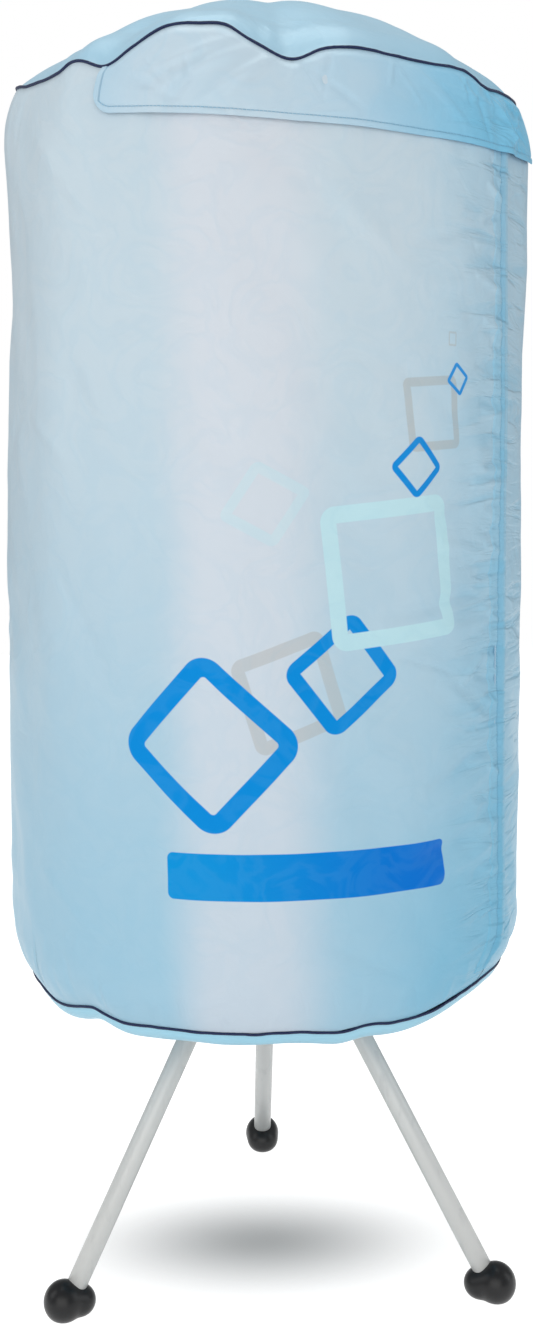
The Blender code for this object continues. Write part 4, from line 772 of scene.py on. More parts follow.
@dataclass(frozen=True)
class PrintedBand:
    """A plain band printed low on the cloth, darker to the right."""

    left: float = -20.5
    right: float = 38.0
    low: float = 0.5120
    high: float = 0.5595
    corner: float = 0.0065
    soft: float = 0.0006
    ink: Colour = (0.0, 0.285, 0.705)
    far_ink: Colour = (0.0, 0.158, 0.635)

    def laid(self, graph: Graph, base: Value, across: Value, up: Value, radius: float) -> Value:
        """Lays the band over the cloth, as a box with round corners.

        Args:
            graph: The material's nodes.
            base: The cloth's colour.
            across: Length round the cloth.
            up: Height on the cloth.
            radius: Radius that turns degrees into lengths.

        Returns:
            The colour with the band over it.
        """
        middle = math.radians(self.left + self.right) / 2 * radius
        half = math.radians(self.right - self.left) / 2 * radius
        x = abs(across - middle) - (half - self.corner)
        y = abs(up - (self.low + self.high) / 2) - ((self.high - self.low) / 2 - self.corner)
        edge = (x.most(0.0) ** 2 + y.most(0.0) ** 2) ** 0.5 + x.most(y).least(0.0)
        mask = edge.drop(self.corner - self.soft, self.corner + self.soft)
        ink = graph.mix(self.ink, self.far_ink, across.ramp(middle - half, middle + half))
        return graph.mix(base, ink, mask)


BLUE: Colour = (0.0, 0.255, 0.705)
GREY: Colour = (0.440, 0.430, 0.400)
CYAN: Colour = (0.530, 0.800, 0.860)

PRINTED_SQUARES = (
    PrintedSquare(4.4, 0.7185, (0.0450, 0.0165), (-0.0140, 0.0465), 0.0130, 0.24, GREY, 0.44),
    PrintedSquare(34.8, 0.9870, (0.0335, 0.0025), (-0.0040, 0.0355), 0.0085, 0.22, GREY, 0.50),
    PrintedSquare(39.5, 1.0600, (0.0055, 0.0000), (0.0000, 0.0070), 0.0017, 0.25, GREY, 0.42),
    PrintedSquare(0.1, 0.9010, (0.0270, -0.0150), (0.0185, 0.0275), 0.0100, 0.24, CYAN, 0.32),
    PrintedSquare(-11.5, 0.6670, (0.0460, 0.0490), (0.0515, -0.0475), 0.0190, 0.34, BLUE, 1.0),
    PrintedSquare(15.0, 0.7345, (0.0365, 0.0300), (0.0262, -0.0342), 0.0140, 0.32, BLUE, 1.0),
    PrintedSquare(25.6, 0.8330, (0.0705, 0.0066), (-0.0071, 0.0700), 0.0165, 0.22, CYAN, 0.74),
    PrintedSquare(30.9, 0.9350, (0.0168, 0.0158), (0.0152, -0.0163), 0.0064, 0.30, BLUE, 0.99),
    PrintedSquare(41.3, 1.0215, (0.0067, 0.0100), (0.0100, -0.0072), 0.0038, 0.30, BLUE, 0.96),
)


@dataclass(frozen=True)
class DyeAndPaintedShade:
    """How the colour deepens: dye everywhere, painted shade to the foot, the right, the low right,
    off a pale place.
    """

    base: float = 0.0
    low: float = 0.0
    right: float = 0.0
    corner: float = 0.0
    painted_shade_off_middle: float = 0.0
    middle: float = -0.060

    def share(self, across: Value, up: Value, mottle: Value) -> Value:
        """The share of the deep colour, from the dye and from painted shade.

        One minus the product of what each fade leaves: the dye's own depth everywhere, and
        painted shade from the foot's fade from 1.15 m down to 0.38 m, the right's over 12 to
        27 cm round, the low right corner's over 6 to 20 cm, and the pale place's over 4 to 33 cm.

        Args:
            across: Length round the cloth.
            up: Height on the cloth.
            mottle: Soft noise from 0 to 1 that breaks the fades up.

        Returns:
            The share, from 0 to 1.
        """
        drift = (mottle - 0.5) * 0.22
        near = across.drop(0.55, 0.95)
        small = drift * 0.3
        # Painted shade: darker towards the foot, towards the right and in the low right corner; the
        # base share is the dye's own depth.
        left = (1 - self.base) * (1 - (up + drift).ramp(1.15, 0.38) * self.low)
        left = left * (1 - (across + small).ramp(0.12, 0.27) * near * self.right)
        shaded_low_right = (up + small).ramp(0.62, 0.45) * (across + small).ramp(0.06, 0.20)
        left = left * (1 - shaded_low_right * near * self.corner)
        # Painted shade: darker away from a pale middle place.
        off = abs(across - self.middle + drift * 0.5).ramp(0.04, 0.33)
        return 1 - left * (1 - off * self.painted_shade_off_middle)


@dataclass(frozen=True)
class SatinCloth:
    """Thin satin, plain or printed, that reads a UV map in metres."""

    name: str
    # fade and the deep colour paint shade: the cloth is darker towards the foot and the right.
    fade: DyeAndPaintedShade = DyeAndPaintedShade(low=0.58, right=0.36, corner=0.62)
    pale: Colour = (0.590, 0.690, 0.762)
    deep_dye_and_shade: Colour = (0.205, 0.512, 0.712)
    # Colour of the painted sheen stripe, a painted highlight down the front.
    painted_sheen_colour: Colour = (0.720, 0.722, 0.780)
    row_colour: Colour = (0.20, 0.42, 0.60)
    shade_colour: Colour = (0.10, 0.36, 0.56)
    gloss: Colour = (0.45, 0.90, 1.0)
    roughness: float = 0.36
    crinkle: float = 0.6
    squares: tuple[PrintedSquare, ...] = ()
    band: Optional[PrintedBand] = None
    # Strength of the painted sheen stripe.
    painted_sheen: float = 0.0
    hem: bool = False
    shade: float = 0.0
    radius: float = 0.2905
    threads: float = 2400.0
    stitches: float = 260.0
    stitch_inset: float = 0.0062
    relief: float = 0.0012

    def printed(self, graph: Graph, base: Value, across: Value, up: Value) -> tuple[Value, Value]:
        """Lays the squares over the cloth, each over those before it.

        Args:
            graph: The material's nodes.
            base: The cloth's colour.
            across: Length round the cloth.
            up: Height on the cloth.

        Returns:
            The colour with the squares, and where any of them lies.
        """
        cloth, inked = base, None
        for square in self.squares:
            mask = square.mask(across, up, self.radius)
            inked = mask if inked is None else inked.most(mask)
            base = graph.mix(base, graph.mix(cloth, square.ink, square.cover), mask)
        return base, inked

    def material(self) -> bpy.types.Material:
        """The cloth: dye with painted shade towards the foot and the right, a painted sheen stripe,
        ink, stitches with a painted shade band beside them, crinkles with painted shade in the
        pulls near the zip, and a weave in its gloss.

        Returns:
            The material.
        """
        graph = Graph(
            self.name,
            Roughness=self.roughness,
            Sheen_Weight=0.02,
            Sheen_Roughness=0.35,
            Specular_IOR_Level=0.17,
            Specular_Tint=self.gloss,
        )
        place = graph.uv("cloth")
        across, up, _ = graph.split(place)
        mottle = graph.noise(place, 5.5, 3.0, 0.6)
        stain = graph.noise(place, 40.0, 2.0)
        # Painted shade: the deep colour rises towards the foot and the right; the mottle and stain
        # are the dye's own uneven tone.
        share = self.fade.share(across, up, mottle) + (mottle - 0.5) * 0.22 + (stain - 0.5) * 0.08
        base = graph.mix(self.pale, self.deep_dye_and_shade, share.most(0.0).least(1.0))
        # Painted sheen: a pale vertical stripe in the colour stands in for the satin's broad
        # highlight.
        if self.painted_sheen:
            shift = across + (mottle - 0.5) * 0.03
            painted_sheen_mask = shift.ramp(-0.118, -0.055) * shift.drop(0.005, 0.085)
            base = graph.mix(base, self.painted_sheen_colour, painted_sheen_mask * self.painted_sheen)
        base, inked = self.printed(graph, base, across, up)
        if self.band is not None:
            base = self.band.laid(graph, base, across, up, self.radius)
        crinkle = graph.noise(place, 16.0, 3.0, 1.4)
        ridge = 1 - abs(crinkle * 2 - 1)
        fine = graph.noise(place, 70.0, 2.0, 0.8)
        height = ridge * self.crinkle + fine * (0.12 * self.crinkle)
        streak = graph.noise(graph.uv("cloth", (9.0, 46.0, 1.0)), 1.0, 3.0, 0.7)
        near_zip = across.ramp(0.165, 0.285) * across.drop(0.31, 0.48)
        pulled = (streak.ramp(0.42, 0.68) - 0.3) * near_zip
        # Painted shade: the colour deepens along the pulls near the zip and on the crinkles, where
        # the cloth folds.
        wear_and_shade = (pulled.most(0.0) * 0.50 + ridge.ramp(0.80, 0.98) * 0.05) * up.ramp(0.35, 0.50)
        base = graph.mix(base, self.deep_dye_and_shade, wear_and_shade)
        height = height - pulled * 1.6
        if self.hem:
            along, from_edge, _ = graph.split(graph.uv("edge"))
            row = abs(from_edge - self.stitch_inset).drop(0.0002, 0.0009)
            stitch = row * abs((along * self.stitches).fraction() - 0.5).drop(0.30, 0.40)
            base = graph.mix(base, self.row_colour, row * 0.35 + stitch * 0.4)
            shaded = from_edge.ramp(0.0048, 0.0070) * from_edge.drop(0.0095, 0.0150)
            base = graph.mix(base, self.shade_colour, shaded * self.shade)
            height = height + stitch * 0.4 - row * 0.35
        weave = (across * self.threads).sine() * (up * self.threads).sine()
        rough = mottle * 0.10 + (self.roughness - 0.05) + weave * 0.015
        rough = rough if inked is None else rough + inked * 0.25
        return graph.finish(base, rough, height, self.relief)


@dataclass(frozen=True)
class WovenCord:
    """Piping, elastic or tape: a dyed weave that runs along the piece."""

    name: str
    colour: Colour
    light: Colour
    twist: float = 900.0
    lay: float = 25.13
    roughness: float = 0.55

    def material(self) -> bpy.types.Material:
        """Diagonal threads from a sine of the length along plus the turn around.

        Returns:
            The material.
        """
        graph = Graph(self.name, Sheen_Weight=0.05, Specular_IOR_Level=0.3)
        along, turn, _ = graph.split(graph.uv("along"))
        thread = (along * self.twist + turn * self.lay).sine() * 0.5 + 0.5
        wear = graph.noise(graph.objects(), 30.0, 3.0)
        colour = graph.mix(self.colour, self.light, thread * 0.4 + wear * 0.35)
        return graph.finish(colour, wear * 0.2 + (self.roughness - 0.1), thread, 0.00025)


@dataclass(frozen=True)
class CoatedTube:
    """Powder-coated steel tube, pale silver, with a fine orange peel and light scuffs."""

    name: str
    colour: Colour = (0.660, 0.660, 0.645)
    scuffed: Colour = (0.520, 0.525, 0.525)
    roughness: float = 0.36

    def material(self) -> bpy.types.Material:
        """Soft peel in the bump, scuffs where a stretched noise is high.

        Returns:
            The material.
        """
        graph = Graph(self.name, Specular_IOR_Level=0.5, Metallic=0.10)
        peel = graph.noise(graph.objects(), 420.0, 2.0)
        scuff = graph.noise(graph.objects((60, 60, 14)), 1.6, 4.0, 0.4).ramp(0.56, 0.72)
        cloud = graph.noise(graph.objects(), 9.0, 3.0)
        colour = graph.mix(self.colour, self.scuffed, scuff * 0.35 + cloud * 0.25)
        rough = scuff * 0.16 + peel * 0.08 + (self.roughness - 0.04)
        return graph.finish(colour, rough, peel, 0.00012)


@dataclass(frozen=True)
class Moulded:
    """Moulded plastic or rubber with a fine grain and small marks of use."""

    name: str
    colour: Colour
    wear_and_shade: Colour
    roughness: float = 0.45
    grain: float = 0.0001
    specular: float = 0.5

    def material(self) -> bpy.types.Material:
        """Grain from fine noise, colour drifting to the worn tone in soft patches.

        Returns:
            The material.
        """
        graph = Graph(self.name, Specular_IOR_Level=self.specular)
        fine = graph.noise(graph.objects(), 900.0, 2.0)
        patch = graph.noise(graph.objects(), 22.0, 4.0, 0.5)
        colour = graph.mix(self.colour, self.wear_and_shade, patch.ramp(0.35, 0.75) * 0.6 + fine * 0.1)
        return graph.finish(colour, patch * 0.16 + (self.roughness - 0.08), fine, self.grain)


@dataclass(frozen=True)
class BareMetal:
    """Plated steel or aluminium sheet with drawn lines."""

    name: str
    colour: Colour
    dull: Colour
    roughness: float = 0.30
    stretch: tuple[float, float, float] = (400.0, 400.0, 12.0)

    def material(self) -> bpy.types.Material:
        """Lines from noise stretched along z, dulled in soft clouds.

        Returns:
            The material.
        """
        graph = Graph(self.name, Metallic=1.0)
        line = graph.noise(graph.objects(self.stretch), 1.0, 3.0)
        cloud = graph.noise(graph.objects(), 30.0, 3.0)
        colour = graph.mix(self.colour, self.dull, line * 0.5 + cloud * 0.3)
        rough = line * 0.18 + cloud * 0.1 + (self.roughness - 0.1)
        return graph.finish(colour, rough, line, 0.00005)


CLOTHS = {
    # The front carries the painted sheen stripe.
    "front": SatinCloth("printed_satin", squares=PRINTED_SQUARES, band=PrintedBand(), painted_sheen=0.62),
    "plain": SatinCloth("plain_satin"),
    # The crown's right fade is painted shade.
    "crown": SatinCloth("crown_satin", DyeAndPaintedShade(base=0.56, right=0.50), crinkle=0.8),
    # The flap's colours and off-middle fade paint shade: paler in the middle, darker at both ends.
    "flap": SatinCloth(
        "flap_satin",
        DyeAndPaintedShade(0.08, painted_shade_off_middle=0.90, middle=-0.040),
        pale=(0.600, 0.700, 0.780),
        deep_dye_and_shade=(0.165, 0.530, 0.775),
        crinkle=0.9,
        hem=True,
    ),
    # The placket's stronger right fade paints shade by the zip.
    "placket": SatinCloth(
        "placket_satin", DyeAndPaintedShade(low=0.58, right=0.60, corner=0.62), hem=True, shade=0.30
    ),
    # Painted light: the underside's paler colours stand in for light in a place of shade.
    "low": SatinCloth(
        "gathered_satin_painted_light", DyeAndPaintedShade(base=0.70), (0.66, 0.82, 0.88), (0.27, 0.62, 0.82), crinkle=0.9
    ),
}

SLOT_FINISHES = {
    "navy_piping": WovenCord("navy_cord", (0.005, 0.012, 0.055), (0.014, 0.028, 0.095)),
    "hem_elastic": WovenCord("hem_elastic", (0.30, 0.47, 0.62), (0.42, 0.60, 0.72), 2600.0),
    "zip_tape": WovenCord("zip_tape_weave", (0.34, 0.53, 0.68), (0.42, 0.62, 0.76), 3200.0),
    "painted_steel_tube": CoatedTube("coated_tube"),
    "black_rubber": Moulded(
        "black_rubber", (0.006, 0.006, 0.007), (0.014, 0.014, 0.015), 0.34, 0.00012, 0.36
    ),
    "dark_plastic": Moulded("dark_plastic", (0.045, 0.048, 0.052), (0.065, 0.068, 0.072), 0.48),
    "white_plastic": Moulded("white_plastic", (0.78, 0.79, 0.79), (0.70, 0.71, 0.70), 0.38),
    "arm_plastic": Moulded("blue_arm_plastic", (0.30, 0.50, 0.66), (0.26, 0.45, 0.61), 0.40),
    "plated_steel": BareMetal("plated_steel", (0.62, 0.62, 0.63), (0.45, 0.45, 0.46)),
    "heater_fins": BareMetal("heater_fins", (0.76, 0.77, 0.78), (0.58, 0.59, 0.60), 0.35),
}

TEETH = Moulded("nylon_teeth", (0.42, 0.60, 0.72), (0.34, 0.52, 0.64), 0.30)


class Palette:
    """The finishes of the whole dryer, each made once."""

    def __init__(self) -> None:
        """Makes the cloths by name, the other finishes by slot, and the zip's teeth."""
        self.cloths = {name: finish.material() for name, finish in CLOTHS.items()}
        self.by_slot = {slot: finish.material() for slot, finish in SLOT_FINISHES.items()}
        self.by_slot["zip_slider"] = self.by_slot["plated_steel"]
        self.teeth = TEETH.material()


# The cover's shape.


TOP_RISES = (
    Rise(-16.5, 0.0235, 11.0),
    Rise(-6.0, 0.0090, 4.5),
    Rise(6.6, -0.0105, 4.5),
    Rise(-32.0, -0.0060, 4.0),
    Rise(-40.5, 0.0065, 4.0),
    Rise(-56.0, 0.0030, 8.0),
    Rise(-84.0, 0.0250, 19.0),
    Rise(56.0, -0.0070, 7.0),
    Rise(95.0, 0.0050, 8.0),
    Rise(131.0, -0.0050, 7.0),
    Rise(166.0, 0.0060, 9.0),
    Rise(203.0, -0.0040, 8.0),
    Rise(238.0, 0.0055, 8.0),
    Rise(271.0, -0.0040, 7.0),
)

LOW_RISES = (
    Rise(-57.0, -0.0060, 7.0),
    Rise(-43.0, 0.0050, 4.5),
    Rise(-33.0, -0.0020, 5.0),
    Rise(4.0, 0.0020, 7.0),
    Rise(15.0, -0.0020, 4.5),
    Rise(21.5, 0.0025, 4.5),
    Rise(46.0, 0.0050, 8.0),
    Rise(60.0, 0.0140, 12.0),
    Rise(80.0, 0.0100, 12.0),
    Rise(125.0, -0.0040, 10.0),
    Rise(170.0, 0.0060, 9.0),
    Rise(215.0, -0.0050, 10.0),
    Rise(262.0, 0.0040, 8.0),
)

# Height in metres and swell in millimetres of the cover's two sides.
LEFT_SWELL = (
    (0.38, 5.5),
    (0.45, 8.0),
    (0.60, 5.5),
    (0.80, 0.5),
    (0.90, -1.0),
    (1.00, -5.5),
    (1.12, -12.5),
    (1.18, -13.0),
    (1.28, -9.5),
)
RIGHT_SWELL = (
    (0.37, -3.0),
    (0.45, -5.0),
    (0.60, 0.0),
    (0.80, 0.0),
    (0.95, -3.0),
    (1.03, -2.0),
    (1.15, 5.0),
)

# Lines of creases: where they start and end (azimuth, height), their width and their depth.
FRONT_LINES = (
    ((-52, 1.27), (-30, 1.16), 0.010, 0.0012),
    ((-46, 1.10), (-24, 0.93), 0.012, 0.0010),
    ((-50, 0.86), (-30, 0.70), 0.011, -0.0010),
    ((-26, 1.04), (-6, 0.90), 0.012, 0.0008),
    ((12, 1.20), (34, 1.10), 0.011, 0.0009),
    ((20, 1.05), (44, 0.98), 0.010, -0.0009),
    ((8, 0.62), (30, 0.66), 0.011, 0.0010),
    ((36, 0.72), (56, 0.66), 0.008, 0.0012),
    ((34, 0.88), (56, 0.92), 0.008, -0.0012),
    ((40, 0.56), (56, 0.60), 0.007, 0.0012),
    ((-55, 0.52), (-32, 0.44), 0.009, 0.0011),
    ((-20, 0.50), (2, 0.43), 0.010, 0.0009),
    ((10, 0.47), (34, 0.41), 0.008, -0.0010),
    ((-58, 1.00), (-44, 0.95), 0.008, 0.0010),
    ((23, 0.788), (54, 0.812), 0.0080, -0.0021),
    ((27, 0.765), (55, 0.780), 0.0090, 0.0016),
    ((26, 0.750), (42, 0.727), 0.0028, -0.0010),
    ((43, 0.715), (52, 0.742), 0.0045, 0.0016),
    ((33, 0.610), (55, 0.648), 0.0080, -0.0021),
    ((33, 0.588), (56, 0.620), 0.0070, 0.0018),
    ((38, 0.668), (56, 0.690), 0.0060, 0.0014),
    ((30, 0.540), (55, 0.565), 0.0080, -0.0018),
    ((34, 0.520), (56, 0.538), 0.0070, 0.0016),
    ((36, 0.858), (56, 0.845), 0.0060, 0.0014),
    ((34, 1.105), (55, 1.130), 0.0080, 0.0014),
    ((30, 1.150), (55, 1.178), 0.0070, -0.0014),
)
FRONT_LINE_DEPTH = 1.9

FLAP_LINES = (
    ((5, 1.322), (-12, 1.268), 0.0050, 0.0020),
    ((-2, 1.334), (-24, 1.300), 0.0055, 0.0018),
    ((7, 1.312), (20, 1.262), 0.0050, -0.0016),
    ((-28, 1.310), (-14, 1.275), 0.0055, -0.0014),
    ((30, 1.320), (44, 1.262), 0.0050, 0.0014),
    ((52, 1.316), (63, 1.262), 0.0045, 0.0022),
    ((57, 1.300), (72, 1.272), 0.0040, -0.0020),
    ((64, 1.312), (73, 1.300), 0.0040, 0.0020),
    ((46, 1.316), (52, 1.255), 0.0045, -0.0014),
    ((1, 1.326), (-22, 1.282), 0.0060, 0.0022),
    ((-9, 1.318), (-19, 1.262), 0.0045, -0.0014),
    ((60, 1.262), (70, 1.306), 0.0035, 0.0020),
    ((66, 1.256), (61, 1.300), 0.0035, -0.0018),
    ((38, 1.300), (58, 1.292), 0.0040, 0.0014),
    ((54, 1.282), (66, 1.264), 0.0032, 0.0018),
)
FLAP_LINE_DEPTH = 1.5


@dataclass(frozen=True)
class CoverShape:
    """The standing shape of the cloth cover, with the seams where they really run."""

    radius: float = 0.2905
    seam_radius: float = 0.274
    seam_height: float = 1.3245
    crown_base: float = 1.329
    crown_rise: float = 0.103
    crown_power: float = 2.2
    shoulder: float = 0.080
    tuck: float = 0.055
    low_radius: float = 0.2725
    low_height: float = 0.3705
    underside_round: float = 0.017
    round_share: float = 0.22
    hem_radius: float = 0.1526
    hem_height: float = 0.405
    zip_azimuth: float = 58.8
    hinge_azimuth: float = -38.0
    left_side: float = -85.0
    right_side: float = 85.0

    def top_seam(self, azimuth: Array) -> Array:
        """Height of the seam between wall and crown, which rises 1.2 mm over each arm."""
        return self.seam_height + 0.0012 * arm_wave(azimuth) + risen(azimuth, TOP_RISES)

    def low_seam(self, azimuth: Array) -> Array:
        """Height of the seam between wall and underside."""
        return self.low_height + risen(azimuth, LOW_RISES)

    def zip_line(self, height: Array) -> Array:
        """Azimuth of the zip, which swings left at its foot."""
        return self.zip_azimuth - 5.0 * eased((0.448 - height) / 0.070)

    def wall_radius(self, azimuth: Array, height: Array) -> Array:
        """Radius of the wall without its creases.

        The barrel's radius less 16.5 mm times the cube of the way up the shoulder, less
        18 mm times the 2.2th power of the way down the tuck. To this come 2 mm over each
        arm near the top, 1.8 mm of soft folds (a cosine of nine times the azimuth times a
        sine of the way down) and the swell of the sides. These three fade near the zip, and
        the folds near the door's fold line too.

        Args:
            azimuth: Azimuth of each point, in degrees.
            height: Height of each point.

        Returns:
            The radius in metres.
        """
        top, low = self.top_seam(azimuth), self.low_seam(azimuth)
        up = np.clip((height - top + self.shoulder) / self.shoulder, 0, 1)
        down = np.clip((low + self.tuck - height) / self.tuck, 0, 1)
        share = np.clip((top - height) / (top - low), 0, 1)
        near_top = np.clip(1 - (top - height) / 0.24, 0, 1)
        calm = 1 - beside(azimuth, self.zip_azimuth, 9.0)
        scallop = arm_wave(azimuth) * calm
        fold = np.cos(np.radians(9 * azimuth + 40)) * calm
        fold = fold * (1 - beside(azimuth, self.hinge_azimuth, 9.0))
        radius = self.radius - (self.radius - self.seam_radius) * up**3
        radius = radius - (self.radius - self.low_radius) * down**2.2
        radius = radius + 0.0020 * scallop * near_top**2
        return radius + 0.0018 * fold * np.sin(math.pi * share) + self.swell(azimuth, height) * calm

    def swell(self, azimuth: Array, height: Array) -> Array:
        """How far the cloth stands off its round shape at its two sides.

        Each side is a bell curve of the azimuth times a straight-line table of heights.

        Args:
            azimuth: Azimuth of each point, in degrees.
            height: Height of each point.

        Returns:
            The swell in metres.
        """
        left, right = (np.interp(height, *zip(*table)) for table in (LEFT_SWELL, RIGHT_SWELL))
        left_share = beside(azimuth, self.left_side, 32.0)
        right_share = beside(azimuth, self.right_side, 22.0)
        return 0.001 * (left * left_share + right * right_share)

    def undulation(self, azimuth: Array, height: Array) -> Array:
        """Slack in the cloth: noise of three sizes that fades over 30 mm at the seams.

        Args:
            azimuth: Azimuth of each point, in degrees.
            height: Height of each point.

        Returns:
            The slack in metres.
        """
        top, low = self.top_seam(azimuth), self.low_seam(azimuth)
        rim = eased((top - height) / 0.030) * eased((height - low) / 0.030)
        place = around(azimuth, self.radius, height)
        slant = place.copy()
        slant[..., 2] = place[..., 2] * 0.45 + 0.35 * np.radians(wrapped(azimuth)) * self.radius
        broad = noise(slant, 0.110, 3)
        mid = noise(slant * np.array([1.0, 1.0, 1.6]), 0.045, 7)
        fine = noise(place, 0.020, 11)
        return rim * (0.0028 * broad + 0.0017 * mid + 0.00032 * fine)

    def crown(self, azimuth: Array, share: Array) -> Array:
        """Points of the crown, from its top (share 0) to its seam (share 1).

        The height falls with a power of the radius and follows the seam's own height with
        the fourth power of the share. It sags between the arms and in a valley at the
        front, leans up to the left, and stands full in a bell curve near the rim, less so
        at the far left. Noise of two sizes is its slack.

        Args:
            azimuth: Azimuth of each point, in degrees.
            share: Share of the way from the top to the seam.

        Returns:
            The points.
        """
        seam = self.top_seam(azimuth)
        radius = self.wall_radius(azimuth, seam) * share
        height = self.crown_base + self.crown_rise * (1 - share**self.crown_power)
        height = height + (seam - self.crown_base) * share**4
        arch = np.sin(math.pi * share)
        sag = (1 - arm_wave(azimuth)) / 2 * arch**1.3
        valley = bell(wrapped(azimuth - 5.0) * np.maximum(share, 0.15), 1.6)
        valley = valley * np.sin(math.pi * share**0.8)
        lean = arch * (0.3 + np.cos(np.radians(azimuth + 75)))
        place = around(azimuth, radius, height)
        slack = 0.0006 + noise(place * np.array([1.0, 1.0, 0.5]), 0.060, 21) * 0.0011
        slack += noise(place, 0.026, 23) * 0.0004
        slack *= eased(share / 0.35) * eased((1 - share) / 0.05)
        full = 0.0048 * bell(share - 0.91, 0.08) * eased((1 - share) / 0.04)
        full = full * (1 - 0.8 * beside(azimuth, -84, 25.0))
        place[..., 2] = height - 0.0012 * sag - 0.0006 * valley + 0.0012 * lean + full + slack
        return place

    def underside(self, azimuth: Array, share: Array) -> Array:
        """Points of the underside, from its seam (share 0) to the elastic hem (share 1).

        The cloth first turns in round a quarter circle, then runs to the hem with pleats
        that deepen on the way.

        Args:
            azimuth: Azimuth of each point, in degrees.
            share: Share of the way from the seam to the hem.

        Returns:
            The points.
        """
        quarter = np.clip(share / self.round_share, 0, 1) * math.pi / 2
        rest = np.clip((share - self.round_share) / (1 - self.round_share), 0, 1)
        seam = self.low_seam(azimuth)
        size = self.underside_round
        turned = self.wall_radius(azimuth, seam) - size
        low = seam - size
        run = turned + (self.hem_radius - turned) * rest
        climb = low + (self.hem_height - low) * eased(rest) + 0.004 * np.sin(math.pi * rest)
        is_round = share < self.round_share
        radius = np.where(is_round, turned + size * np.cos(quarter), run)
        height = np.where(is_round, seam - size * np.sin(quarter), climb)
        wobble = 14 * wave(azimuth, 3) + 9 * wave(azimuth, 7, 40)
        pleat = wave(azimuth, 34, wobble) * 0.6 + 0.4 * wave(azimuth, 53, -wobble)
        height = height + pleat * 0.0040 * rest**1.2 * np.clip((1 - rest) * 6 + 0.35, 0, 1)
        place = around(azimuth, radius, height)
        place[..., 2] += noise(place, 0.040, 31) * 0.0022 * np.sin(math.pi * share)
        return place


